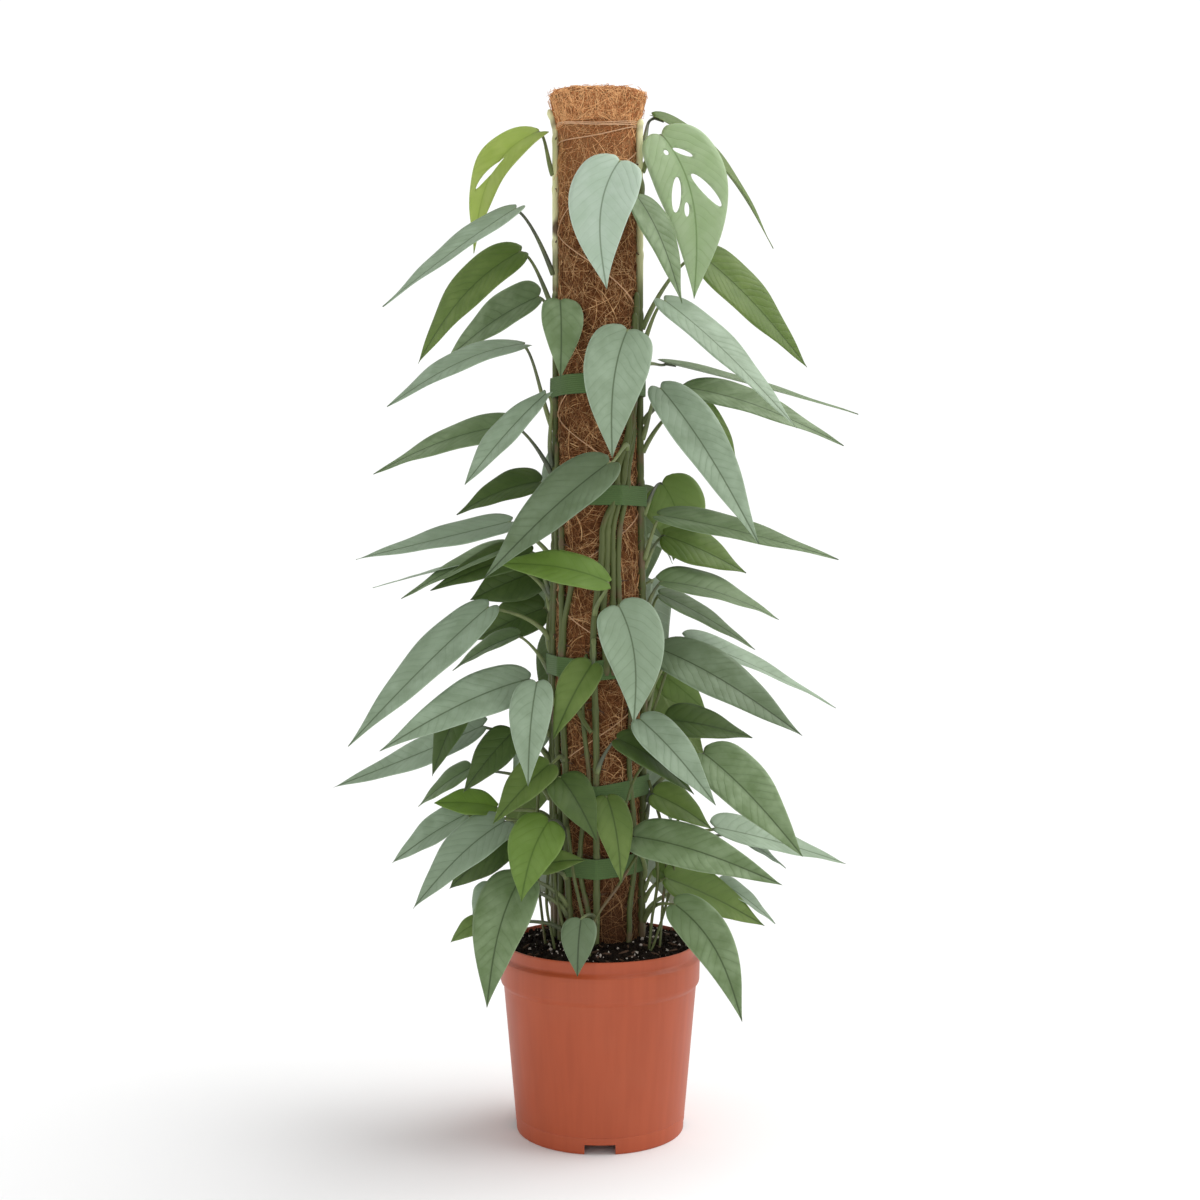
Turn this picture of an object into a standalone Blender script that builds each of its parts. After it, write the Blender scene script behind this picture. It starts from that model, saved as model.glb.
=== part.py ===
"""Cebu blue pothos (Epipremnum pinnatum) climbing a coir pole in a plastic nursery pot.

The origin is the centre of the pot's underside, +Z is up and -Y is the side that faces the viewer.
Lengths below are in millimetres, and every mesh is scaled to metres as it is made.
"""

import math
from collections import namedtuple

import bmesh
import bpy
from mathutils import Matrix, Vector

MM = 0.001
GAP = 0.3

# Pot
POT_HEIGHT = 176.0
POT_WALL = 1.8
POT_FOOT_RADIUS = 79.0
POT_NECK_RADIUS = 91.5
POT_BAND_RADIUS = 95.0
POT_LIP_RADIUS = 91.0
POT_BAND_BOTTOM = 136.0
POT_LIP_BOTTOM = 166.0
POT_FLOOR_BOTTOM = 10.0
POT_SEGMENTS = 44
FOOT_SLOT_WIDTH = 28.0
FOOT_SLOT_HEIGHT = 9.0
DRAIN_HOLE_RADIUS = 5.0
DRAIN_RING_RADIUS = 48.0
DRAIN_HOLES = 8

# Potting soil
SOIL_TOP = 161.0
SOIL_MOUND = 4.0

# Coir pole
POLE_X = -2.0
POLE_FOOT = 40.0
POLE_TOP = 974.0
STAKE_RADIUS = 15.0
STAKE_TOP = 966.0
COIR_SEGMENTS = 32
# Height and outer radius of the coir sleeve, from the soil to the brushed-out top.
COIR_PROFILE = (
    (POLE_FOOT, 38.0),
    (200.0, 38.5),
    (330.0, 40.0),
    (450.0, 40.5),
    (560.0, 38.0),
    (700.0, 37.0),
    (958.0, 37.0),
    (966.0, 41.0),
    (POLE_TOP, 43.5),
)
TWINE_RADIUS = 0.6
TWINE_TOP = 955.0
TWINE_BOTTOM = 240.0
TWINE_TURNS = 4.0
TWINE_TOP_TURNS = 2.0
TWINE_POINTS_PER_TURN = 18
TWINE_STAND_OFF = 0.9

# Climbing stems: stem radius, and bearing around the pole in degrees (0 right, 90 back) at each height.
STEM_STAND_OFF = 2.8
STEM_FOOT = 140.0
Stem = namedtuple("Stem", "radius route")
STEMS = {
    "left": Stem(3.6, ((140, 188), (260, 184), (500, 180), (760, 178), (968, 178))),
    "right": Stem(3.8, ((140, -8), (260, -5), (500, 0), (760, 2), (955, 2))),
    "front": Stem(3.2, ((140, -92), (330, -92), (470, -95), (560, -84), (620, -52), (700, -30), (790, -24))),
    "front_left": Stem(3.2, ((140, -128), (300, -134), (450, -142), (570, -146))),
    "back": Stem(3.6, ((140, 100), (400, 92), (700, 84), (900, 86))),
}

# Tie bands: height of the middle, band height and band thickness.
TIE_HEIGHTS = (702.0, 598.0, 440.0, 326.0, 254.0)
TIE_BAND = 18.0
TIE_THICKNESS = 1.6
TIE_CLEARANCE = 0.4
TIE_CORNERS = 14

# Leaves
PETIOLE_RADIUS = 1.3
PETIOLE_RINGS = 4
BLADE_RINGS = 8
BLADE_THICKNESS = 1.4
LOBE = 0.07

# One row a leaf. `stem` and `start` say where its stalk leaves a climbing stem, `base` is where
# the stalk meets the blade and `tip` the blade's point, `turn` is 0 for a blade that the viewer
# sees edge-on and 90 for one that faces the viewer (or faces back, on the back stem), and `arch`
# is the rise of the midrib as a share of the blade's length. `sway` is its bend to the left, where the tip points down.
Leaf = namedtuple("Leaf", "name stem start base tip width turn arch sway")
LEAVES = (
    Leaf("top_front", "right", 881, (18, -72, 897), (6, -94, 777), 63, 82, 0.08, 0.09),
    Leaf("top_left", "left", 905, (-60, -6, 941), (-120, -6, 829), 46, 50, 0.20, 0.0),
    Leaf("top_right", "right", 905, (58, -10, 940), (88, -24, 782), 72, 80, 0.08, -0.085),
    Leaf("top_inner", "right", 857, (34, -46, 872), (74, -74, 768), 42, 52, 0.06, 0.0),
    Leaf("top_back", "right", 929, (54, 25, 968), (172, 60, 849), 48, 26, 0.09, 0.0),
    Leaf("left_1", "left", 810, (-78, -42, 862), (-192, -105, 759), 50, 38, 0.015, 0.0),
    Leaf("left_2", "left", 777, (-76, 1, 832), (-177, 30, 730), 55, 50, 0.1, 0.0),
    Leaf("left_3", "left", 757, (-60, 26, 794), (-156, 80, 740), 56, 46, 0.05, 0.0),
    Leaf("left_4", "left", 662, (-72, -15, 741), (-193, -70, 675), 48, 38, 0.07, 0.0),
    Leaf("left_5", "left", 618, (-81, -5, 666), (-222, 40, 623), 50, 40, 0.06, 0.0),
    Leaf("left_6", "left", 538, (-85, -10, 574), (-223, -60, 537), 50, 32, 0.0, 0.0),
    Leaf("left_7", "left", 462, (-105, -20, 493), (-227, -80, 368), 56, 44, 0.02, 0.0),
    Leaf("left_8", "left", 386, (-66, -32, 426), (-197, -90, 365), 50, 58, 0.08, 0.0),
    Leaf("left_9", "left", 348, (-112, -5, 380), (-263, 50, 315), 46, 34, -0.01, 0.0),
    Leaf("left_10", "left", 278, (-89, -30, 293), (-169, -75, 221), 54, 45, 0.07, 0.0),
    Leaf("right_1", "right", 757, (96, 5, 830), (203, 40, 728), 58, 50, 0.04, 0.0),
    Leaf("right_2", "right", 738, (60, -36, 778), (175, -95, 653), 52, 44, 0.03, 0.0),
    Leaf("right_3", "right", 718, (64, 20, 729), (260, 80, 687), 50, 14, 0.005, 0.0),
    Leaf("right_4", "right", 667, (82, 0, 702), (226, -40, 643), 52, 40, 0.05, 0.0),
    Leaf("right_5", "right", 652, (56, -40, 696), (143, -80, 550), 52, 62, 0.05, 0.0),
    Leaf("right_6", "right", 538, (57, -22, 579), (218, -60, 537), 52, 30, 0.02, 0.0),
    Leaf("right_7", "right", 490, (58, -12, 517), (174, 30, 481), 50, 32, 0.06, 0.0),
    Leaf("right_8", "right", 405, (85, 10, 462), (236, 70, 392), 46, 22, 0.02, 0.0),
    Leaf("right_9", "right", 414, (56, -40, 454), (180, -95, 379), 56, 48, 0.05, 0.0),
    Leaf("right_10", "right", 309, (97, -25, 356), (184, -70, 267), 56, 58, 0.06, 0.0),
    Leaf("right_11", "right", 270, (111, 5, 282), (244, 60, 238), 48, 26, 0.02, 0.0),
    Leaf("right_12", "right", 236, (32, -50, 282), (162, -100, 247), 50, 45, 0.06, 0.0),
    Leaf("right_13", "right", 214, (62, -30, 240), (158, 10, 187), 46, 42, 0.04, 0.0),
    Leaf("front_1", "left", 743, (-37, -42, 777), (-36, -62, 702), 39, 80, 0.08, 0.0),
    Leaf("front_2", "right", 722, (25, -66, 745), (11, -86, 627), 60, 85, 0.08, 0.05),
    Leaf("front_3", "left", 627, (-50, -45, 690), (-122, -75, 604), 42, 45, 0.03, 0.0),
    Leaf("front_4", "front", 618, (15, -70, 625), (-102, -100, 520), 56, 55, 0.12, 0.0),
    Leaf("front_5", "front", 486, (7, -72, 516), (-94, -78, 533), 40, 50, 0.09, 0.0),
    Leaf("front_6", "right", 462, (17, -68, 494), (30, -88, 390), 58, 85, 0.08, -0.07),
    Leaf("front_7", "front", 460, (-7, -72, 442), (-42, -92, 375), 36, 70, 0.08, 0.0),
    Leaf("front_8", "front_left", 386, (-57, -74, 425), (-64, -94, 334), 40, 75, 0.08, 0.0),
    Leaf("front_9", "right", 352, (37, -52, 390), (105, -72, 314), 44, 52, 0.05, 0.0),
    Leaf("front_10", "front_left", 350, (-46, -62, 350), (-96, -84, 299), 40, 55, 0.05, 0.0),
    Leaf("front_11", "front", 300, (6, -60, 320), (19, -80, 245), 36, 65, 0.1, 0.0),
    Leaf("front_12", "front_left", 280, (-46, -74, 300), (-70, -98, 232), 50, 75, 0.06, 0.05),
    Leaf("low_left", "front_left", 214, (-72, -56, 246), (-99, -118, 143), 54, 75, 0.07, 0.04),
    Leaf("low_right", "right", 195, (68, -62, 222), (126, -100, 126), 42, 72, 0.08, -0.08),
    Leaf("low_front", "front", 200, (-17, -88, 214), (-20, -104, 167), 32, 80, 0.1, 0.0),
    Leaf("back_1", "back", 640, (12, 82, 690), (26, 120, 588), 56, 84, 0.09, 0.0),
    Leaf("back_2", "back", 420, (-28, 80, 470), (-52, 120, 366), 56, 80, 0.09, 0.0),
)

# Long holes of the two most mature leaves: along the blade, across it, length, width and slant.
Slit = namedtuple("Slit", "along across length width slant")
SLITS = {
    "top_left": (Slit(56, 9, 38, 4.5, 4),),
    "top_right": (
        Slit(22, 12, 18, 4.0, 35),
        Slit(56, -12, 34, 5.5, -12),
        Slit(62, 15, 42, 8.0, 20),
        Slit(76, 6, 13, 3.5, 10),
    ),
}


def clear_scene():
    """Remove whatever the file held."""
    for obj in list(bpy.data.objects):
        bpy.data.objects.remove(obj, do_unlink=True)


def material(name, colour, roughness):
    """A Principled material in one colour; every surface here is non-metallic."""
    made = bpy.data.materials.new(name)
    made.use_nodes = True
    shader = made.node_tree.nodes["Principled BSDF"]
    shader.inputs["Base Color"].default_value = (*colour, 1.0)
    shader.inputs["Roughness"].default_value = roughness
    shader.inputs["Metallic"].default_value = 0.0
    return made


def leaf_material(name, colour):
    """A leaf green, each leaf with its own tone."""
    return material(name, colour, 0.5)


def add_object(name, mesh, look):
    """Link a mesh as a named object with its own material."""
    obj = bpy.data.objects.new(name, mesh)
    bpy.context.scene.collection.objects.link(obj)
    mesh.materials.append(look)
    return obj


def mesh_from(name, bm, faces_known=False):
    """Turn a bmesh in millimetres into a smooth-shaded mesh in metres."""
    if not faces_known:
        bmesh.ops.recalc_face_normals(bm, faces=bm.faces)
    bmesh.ops.scale(bm, vec=(MM, MM, MM), verts=bm.verts)
    mesh = bpy.data.meshes.new(name)
    bm.to_mesh(mesh)
    bm.free()
    mesh.shade_smooth()
    mesh.set_sharp_from_angle(angle=math.radians(40))
    return mesh


def add_cutter(name, bm):
    """A helper solid for a Boolean, left out of the render."""
    obj = bpy.data.objects.new(name, mesh_from(name, bm))
    bpy.context.scene.collection.objects.link(obj)
    obj.hide_render = True
    obj.display_type = "WIRE"
    return obj


def cut(obj, cutter):
    """Subtract one solid from another."""
    modifier = obj.modifiers.new("cut_" + cutter.name, "BOOLEAN")
    modifier.operation = "DIFFERENCE"
    modifier.object = cutter


def turned(profile, segments, centre_x=0.0):
    """A closed profile of (radius, height) points turned about an upright axis."""
    bm = bmesh.new()
    rings = []
    for step in range(segments):
        angle = 2 * math.pi * step / segments
        ring = []
        for radius, height in profile:
            ring.append(bm.verts.new((centre_x + radius * math.cos(angle), radius * math.sin(angle), height)))
        rings.append(ring)
    count = len(profile)
    for step in range(segments):
        here = rings[step]
        there = rings[(step + 1) % segments]
        for i in range(count):
            j = (i + 1) % count
            bm.faces.new((here[i], there[i], there[j], here[j]))
    return bm


def cylinder(radius, low, high, x, y, segments=16):
    """An upright cylinder."""
    bm = bmesh.new()
    place = Matrix.Translation((x, y, (low + high) / 2))
    bmesh.ops.create_cone(
        bm, cap_ends=True, segments=segments, radius1=radius, radius2=radius, depth=high - low, matrix=place
    )
    return bm


def block(size, centre):
    """A plain box."""
    bm = bmesh.new()
    place = Matrix.Translation(centre) @ Matrix.Diagonal((*size, 1.0))
    bmesh.ops.create_cube(bm, size=1.0, matrix=place)
    return bm


def merge_into(target, source):
    """Copy one bmesh's faces into another."""
    copies = {}
    for vert in source.verts:
        copies[vert] = target.verts.new(vert.co)
    for face in source.faces:
        target.faces.new([copies[vert] for vert in face.verts])
    source.free()


def add_pot():
    """The tapered pot: lip, shoulder band, straight wall, foot ring and raised floor."""
    inner = POT_WALL
    profile = [
        (POT_FOOT_RADIUS, 0.0),
        (POT_FOOT_RADIUS + 0.6, 2.0),
        (POT_FOOT_RADIUS + 1.3, 15.0),
        (POT_NECK_RADIUS, POT_BAND_BOTTOM),
        (POT_BAND_RADIUS - 0.6, POT_BAND_BOTTOM + 4.0),
        (POT_BAND_RADIUS, POT_BAND_BOTTOM + 22.0),
        (POT_BAND_RADIUS - 0.8, POT_LIP_BOTTOM - 3.0),
        (POT_LIP_RADIUS - 0.6, POT_LIP_BOTTOM),
        (POT_LIP_RADIUS + 0.6, POT_HEIGHT - 1.2),
        (POT_LIP_RADIUS, POT_HEIGHT),
        (POT_LIP_RADIUS - inner, POT_HEIGHT - 0.4),
        (POT_LIP_RADIUS - inner - 0.6, POT_LIP_BOTTOM - 1.0),
        (POT_BAND_RADIUS - inner - 1.2, POT_LIP_BOTTOM - 6.0),
        (POT_BAND_RADIUS - inner - 0.8, POT_BAND_BOTTOM + 5.0),
        (POT_NECK_RADIUS - inner, POT_BAND_BOTTOM - 2.0),
        (POT_FOOT_RADIUS + 1.3 - inner, POT_FLOOR_BOTTOM + inner + 3.0),
        (POT_FOOT_RADIUS - 6.0, POT_FLOOR_BOTTOM + inner),
        (2.0, POT_FLOOR_BOTTOM + inner),
        (2.0, POT_FLOOR_BOTTOM),
        (POT_FOOT_RADIUS - 7.0, POT_FLOOR_BOTTOM),
        (POT_FOOT_RADIUS - 2 * inner, 0.0),
    ]
    look = material("terracotta_plastic", (0.48, 0.13, 0.055), 0.42)
    pot = add_object("pot", mesh_from("pot", turned(profile, POT_SEGMENTS)), look)
    slots = block((FOOT_SLOT_WIDTH, 2.4 * POT_FOOT_RADIUS, 2 * FOOT_SLOT_HEIGHT), (0.0, 0.0, 0.0))
    cut(pot, add_cutter("foot_slots_front_back", slots))
    slots = block((2.4 * POT_FOOT_RADIUS, FOOT_SLOT_WIDTH, 2 * FOOT_SLOT_HEIGHT), (0.0, 0.0, 0.0))
    cut(pot, add_cutter("foot_slots_sides", slots))
    holes = bmesh.new()
    for step in range(DRAIN_HOLES):
        angle = 2 * math.pi * (step + 0.5) / DRAIN_HOLES
        x = DRAIN_RING_RADIUS * math.cos(angle)
        y = DRAIN_RING_RADIUS * math.sin(angle)
        merge_into(holes, cylinder(DRAIN_HOLE_RADIUS, 5.0, 25.0, x, y, 12))
    cut(pot, add_cutter("drain_holes", holes))


def add_soil():
    """The root ball: it fills the pot with a small gap, and is bored for the pole and the stems."""
    inner = POT_WALL + GAP
    low = POT_FLOOR_BOTTOM + POT_WALL + GAP
    profile = [
        (POT_FOOT_RADIUS - 8.0, low),
        (POT_FOOT_RADIUS + 0.6 - inner, low + 4.0),
        (POT_NECK_RADIUS - inner - 0.3, POT_BAND_BOTTOM - 3.0),
        (POT_NECK_RADIUS - inner, SOIL_TOP),
        (POT_NECK_RADIUS - 25.0, SOIL_TOP + 0.6 * SOIL_MOUND),
        (20.0, SOIL_TOP + SOIL_MOUND),
        (20.0, POLE_FOOT - 1.0),
        (20.0, low),
    ]
    look = material("potting_soil", (0.03, 0.02, 0.014), 0.95)
    soil = add_object("potting_soil", mesh_from("potting_soil", turned(profile, 40)), look)
    radius = coir_radius(SOIL_TOP) / math.cos(math.pi / COIR_SEGMENTS) + 0.5
    bore = cylinder(radius, POLE_FOOT - GAP, SOIL_TOP + 20.0, POLE_X, 0.0, COIR_SEGMENTS)
    cut(soil, add_cutter("pole_hole", bore))
    holes = bmesh.new()
    for stem in STEMS.values():
        x, y = stem_place(stem, STEM_FOOT)
        merge_into(holes, cylinder(stem.radius + 1.3, STEM_FOOT - 3.0, SOIL_TOP + 20.0, x, y, 12))
    cut(soil, add_cutter("stem_holes", holes))


def interpolate(table, at):
    """Straight-line reading of a table of (place, value) rows."""
    for (low, first), (high, last) in zip(table, table[1:]):
        if at <= high:
            share = max(0.0, (at - low) / (high - low))
            return first + (last - first) * share
    return table[-1][1]


def coir_radius(height):
    """Outer radius of the coir sleeve at a height."""
    return interpolate(COIR_PROFILE, height)


def add_pole():
    """The wooden stake and the thick coir sleeve around it."""
    stake_look = material("pale_wood", (0.42, 0.29, 0.17), 0.7)
    stake = cylinder(STAKE_RADIUS, POLE_FOOT, STAKE_TOP, POLE_X, 0.0, 24)
    add_object("core_stake", mesh_from("core_stake", stake), stake_look)
    profile = [(radius, height) for height, radius in COIR_PROFILE]
    profile.append((STAKE_RADIUS + 8.0, POLE_TOP - 1.0))
    profile.append((STAKE_RADIUS + GAP, STAKE_TOP + 2.0))
    profile.append((STAKE_RADIUS + GAP, POLE_FOOT))
    coir_look = material("coir", (0.36, 0.18, 0.08), 0.95)
    add_object("coir_sleeve", mesh_from("coir_sleeve", turned(profile, COIR_SEGMENTS, POLE_X)), coir_look)


def tube(name, points, radius, look, sides=2):
    """A round tube through points, with closed ends."""
    curve = bpy.data.curves.new(name, "CURVE")
    curve.dimensions = "3D"
    curve.bevel_depth = radius * MM
    curve.bevel_resolution = sides
    curve.use_fill_caps = True
    spline = curve.splines.new("POLY")
    spline.points.add(len(points) - 1)
    for point, place in zip(spline.points, points):
        point.co = (place[0] * MM, place[1] * MM, place[2] * MM, 1.0)
    curve.materials.append(look)
    obj = bpy.data.objects.new(name, curve)
    bpy.context.scene.collection.objects.link(obj)
    return obj


def add_twine():
    """One length of twine: level turns below the flared top, then a slow spiral down the pole."""
    points = []
    steps = int((TWINE_TOP_TURNS + TWINE_TURNS) * TWINE_POINTS_PER_TURN)
    for step in range(steps + 1):
        turn = step / TWINE_POINTS_PER_TURN
        if turn < TWINE_TOP_TURNS:
            height = TWINE_TOP - 2.0 * turn
        else:
            start = TWINE_TOP - 2.0 * TWINE_TOP_TURNS
            height = start - (start - TWINE_BOTTOM) * (turn - TWINE_TOP_TURNS) / TWINE_TURNS
        radius = coir_radius(height) + TWINE_STAND_OFF + TWINE_RADIUS
        angle = 2 * math.pi * turn - 2.2
        points.append((POLE_X + radius * math.cos(angle), radius * math.sin(angle), height))
    tube("twine", points, TWINE_RADIUS, material("twine", (0.55, 0.36, 0.24), 0.9))


def stem_place(stem, height):
    """Centre of a stem at a height, standing just off the coir."""
    bearing = math.radians(interpolate(stem.route, height))
    radius = coir_radius(height) + STEM_STAND_OFF + stem.radius
    return POLE_X + radius * math.cos(bearing), radius * math.sin(bearing)


def add_stems():
    """The climbing stems, rooted in the soil."""
    look = material("stem_green", (0.16, 0.24, 0.07), 0.55)
    for name, stem in STEMS.items():
        top = stem.route[-1][0]
        steps = max(6, round((top - STEM_FOOT) / 45.0))
        points = []
        for step in range(steps + 1):
            height = STEM_FOOT + (top - STEM_FOOT) * step / steps
            points.append((*stem_place(stem, height), height))
        tube("stem_" + name, points, stem.radius, look)


def convex_outline(points):
    """The convex hull of flat points, anticlockwise."""
    ordered = sorted(set(points))

    def half(sequence):
        chain = []
        for point in sequence:
            while len(chain) > 1:
                ax, ay = chain[-1][0] - chain[-2][0], chain[-1][1] - chain[-2][1]
                bx, by = point[0] - chain[-1][0], point[1] - chain[-1][1]
                if ax * by - ay * bx > 0:
                    break
                chain.pop()
            chain.append(point)
        return chain[:-1]

    return half(ordered) + half(reversed(ordered))


def tie_outline(height, clearance):
    """The line that a band takes when it is pulled round the pole and the stems at a height."""
    circles = [(POLE_X, 0.0, max(coir_radius(height - TIE_BAND), coir_radius(height + TIE_BAND)) + 1.6)]
    for stem in STEMS.values():
        if stem.route[-1][0] > height + TIE_BAND:
            for level in (height - TIE_BAND / 2, height, height + TIE_BAND / 2):
                circles.append((*stem_place(stem, level), stem.radius))
    points = []
    for x, y, radius in circles:
        for step in range(TIE_CORNERS):
            angle = 2 * math.pi * step / TIE_CORNERS
            reach = (radius + clearance) / math.cos(math.pi / TIE_CORNERS)
            points.append((round(x + reach * math.cos(angle), 3), round(y + reach * math.sin(angle), 3)))
    return convex_outline(points)


def add_ties():
    """Flat green bands that hold the stems to the pole."""
    for number, height in enumerate(TIE_HEIGHTS, 1):
        look = material(f"tie_green_{number}", (0.09, 0.22, 0.09), 0.6)
        inner = tie_outline(height, TIE_CLEARANCE)
        centre = Vector((POLE_X, 0.0))
        bm = bmesh.new()
        rings = []
        for x, y in inner:
            out = (Vector((x, y)) - centre).normalized() * TIE_THICKNESS
            ring = []
            for dx, dy, dz in ((0, 0, -1), (out.x, out.y, -1), (out.x, out.y, 1), (0, 0, 1)):
                ring.append(bm.verts.new((x + dx, y + dy, height + dz * TIE_BAND / 2)))
            rings.append(ring)
        for i, here in enumerate(rings):
            there = rings[(i + 1) % len(rings)]
            for k in range(4):
                bm.faces.new((here[k], there[k], there[(k + 1) % 4], here[(k + 1) % 4]))
        add_object(f"tie_{number}", mesh_from(f"tie_{number}", bm), look)


def half_width(share):
    """Outline of a blade: half its width, as a share of the widest, along the midrib."""
    rising = math.sin(math.pi * min(1.0, share / 0.56) / 2) ** 0.6 if share > 0 else 0.0
    falling = max(0.0, 1.0 - max(0.0, share - 0.24) / 0.76)
    body = min(1.0, 0.52 + 1.9 * share) if share < 0.26 else 1.0
    return body * falling ** 0.92 * (0.94 + 0.06 * rising)


def leaf_axes(leaf):
    """Directions along, across and out of a blade."""
    along = (Vector(leaf.tip) - Vector(leaf.base)).normalized()
    viewer = Vector((0.0, 1.0 if leaf.stem == "back" else -1.0, 0.0))
    facing = (viewer - along * viewer.dot(along)).normalized()
    upper = facing.cross(along).normalized()
    if upper.z < 0:
        upper.negate()
    turn = math.radians(leaf.turn)
    out = upper * math.cos(turn) + facing * math.sin(turn)
    return along, along.cross(out).normalized(), out


def midrib(leaf, share):
    """A point of the midrib, which rises and then droops to the tip."""
    along, across, out = leaf_axes(leaf)
    base, tip = Vector(leaf.base), Vector(leaf.tip)
    bend = (tip - base).length * math.sin(math.pi * share**0.85)
    return base.lerp(tip, share) + out * (leaf.arch * bend) + across * (leaf.sway * bend)


def stalk_points(leaf):
    """The stalk's line from the stem up and over to the blade."""
    stem = STEMS[leaf.stem]
    x, y = stem_place(stem, leaf.start)
    away = Vector((x - POLE_X, y, 0.0)).normalized()
    base = Vector(leaf.base)
    toward = Vector((base.x - x, base.y - y, 0.0))
    toward = toward.normalized() if toward.length > 1.0 else away
    leave = (away * 1.2 + toward).normalized()
    start = Vector((x, y, leaf.start)) + leave * (stem.radius + GAP + 0.15)
    along, _, out = leaf_axes(leaf)
    arrive = (midrib(leaf, 0.04) - base).normalized() * 0.6 + out * 0.8
    span = (base - start).length
    first = start + leave * (0.25 * span) + Vector((0.0, 0.0, 0.30 * span))
    last = base - arrive.normalized() * (0.30 * span)
    points = [start - leave * 0.01]
    start = start + leave * 1.5
    for step in range(PETIOLE_RINGS):
        t = step / PETIOLE_RINGS
        s = 1 - t
        points.append(start * s**3 + first * 3 * s * s * t + last * 3 * s * t * t + base * t**3)
    points.append(base - out * 1.6 - along * 0.6)
    return points


def stalk_rings(leaf, across):
    """Eight-sided rings along the stalk, carried without twist from the blade back to the stem."""
    points = stalk_points(leaf)
    rings = []
    for i in reversed(range(len(points))):
        before = points[max(0, i - 1)]
        after = points[min(len(points) - 1, i + 1)]
        forward = (after - before).normalized()
        across = (across - forward * across.dot(forward)).normalized()
        normal = across.cross(forward)
        ring = []
        for step in range(8):
            angle = math.pi * step / 4
            offset = -across * math.cos(angle) + normal * math.sin(angle)
            ring.append(points[i] + offset * PETIOLE_RADIUS)
        rings.append(ring)
    rings.reverse()
    return rings


def blade_rings(leaf):
    """Rings across the blade: thin at the margin, folded a little along the midrib, lobed at the base."""
    along, across, out = leaf_axes(leaf)
    length = (Vector(leaf.tip) - Vector(leaf.base)).length
    rings = []
    for step in range(BLADE_RINGS):
        share = (step / BLADE_RINGS) ** 1.15
        middle = midrib(leaf, share)
        half = half_width(share) * leaf.width / 2
        back = LOBE * length * (1.0 - share) ** 3
        ring = []
        for position, side in ((-1, 0), (-0.5, 1), (0, 1), (0.5, 1), (1, 0), (0.5, -1), (0, -1), (-0.5, -1)):
            size = abs(position)
            thick = BLADE_THICKNESS / 2 * (1.0 - 0.35 * size) * side
            fold = 0.16 * half * size
            set_back = back * (1.0 - (1.0 - size) ** 2)
            ring.append(middle + across * (position * half) - along * set_back + out * (fold + thick))
        rings.append(ring)
    return rings


def add_leaf(leaf, number):
    """One leaf with its stalk, as a single closed skin."""
    along, across, out = leaf_axes(leaf)
    bm = bmesh.new()
    rings = []
    for ring in stalk_rings(leaf, across) + blade_rings(leaf):
        rings.append([bm.verts.new(point) for point in ring])
    for here, there in zip(rings, rings[1:]):
        for k in range(8):
            bm.faces.new((here[k], here[(k + 1) % 8], there[(k + 1) % 8], there[k]))
    bm.faces.new(list(reversed(rings[0])))
    tip = bm.verts.new(Vector(leaf.tip))
    for k in range(8):
        bm.faces.new((rings[-1][k], rings[-1][(k + 1) % 8], tip))
    tone = 0.03 * ((number * 7) % 5 - 2)
    look = leaf_material("leaf_" + leaf.name, (0.17 + tone, 0.27 + tone, 0.19 + tone))
    obj = add_object("leaf_" + leaf.name, mesh_from("leaf_" + leaf.name, bm, True), look)
    if leaf.name in SLITS:
        cut(obj, add_cutter("slits_" + leaf.name, slit_solids(leaf)))


def slit_solids(leaf):
    """Lens-shaped cutters that stand across the blade."""
    along, across, out = leaf_axes(leaf)
    length = (Vector(leaf.tip) - Vector(leaf.base)).length
    bm = bmesh.new()
    for slit in SLITS[leaf.name]:
        centre = midrib(leaf, slit.along / length) + across * slit.across
        slant = math.radians(slit.slant)
        run = along * math.cos(slant) + across * math.sin(slant)
        wide = out.cross(run).normalized()
        low, high = [], []
        for step in range(10):
            angle = 2 * math.pi * step / 10
            flat = run * (slit.length / 2 * math.cos(angle)) + wide * (slit.width / 2 * math.sin(angle))
            low.append(bm.verts.new(centre + flat - out * 14.0))
            high.append(bm.verts.new(centre + flat + out * 14.0))
        bm.faces.new(low)
        bm.faces.new(high)
        for k in range(10):
            j = (k + 1) % 10
            bm.faces.new((low[k], low[j], high[j], high[k]))
    return bm


def main():
    clear_scene()
    add_pot()
    add_soil()
    add_pole()
    add_twine()
    add_stems()
    add_ties()
    for number, leaf in enumerate(LEAVES):
        add_leaf(leaf, number)


main()
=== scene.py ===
"""Cebu blue pothos on a coir pole in a plastic nursery pot: the look of the part and its studio.

Sizes are in millimetres, as in the part, and meshes are scaled to metres when they are made.
The origin is the centre of the pot's underside, +Z is up and -Y faces the viewer.
"""

import math
import random
from collections import namedtuple

import bmesh
import bpy
import numpy as np
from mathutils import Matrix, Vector


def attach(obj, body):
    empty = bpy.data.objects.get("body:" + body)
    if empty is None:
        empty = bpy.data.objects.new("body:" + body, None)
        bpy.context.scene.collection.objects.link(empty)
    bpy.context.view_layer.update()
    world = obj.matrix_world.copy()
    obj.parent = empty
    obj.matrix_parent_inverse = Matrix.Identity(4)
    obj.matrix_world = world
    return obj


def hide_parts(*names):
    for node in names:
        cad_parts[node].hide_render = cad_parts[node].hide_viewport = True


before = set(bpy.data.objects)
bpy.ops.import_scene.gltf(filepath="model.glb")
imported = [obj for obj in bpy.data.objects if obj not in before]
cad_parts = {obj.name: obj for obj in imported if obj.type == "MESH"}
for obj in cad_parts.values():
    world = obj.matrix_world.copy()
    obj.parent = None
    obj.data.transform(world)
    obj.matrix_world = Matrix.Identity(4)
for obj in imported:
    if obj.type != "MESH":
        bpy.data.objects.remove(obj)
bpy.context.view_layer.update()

MM = 0.001
BODY = "root"

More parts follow.
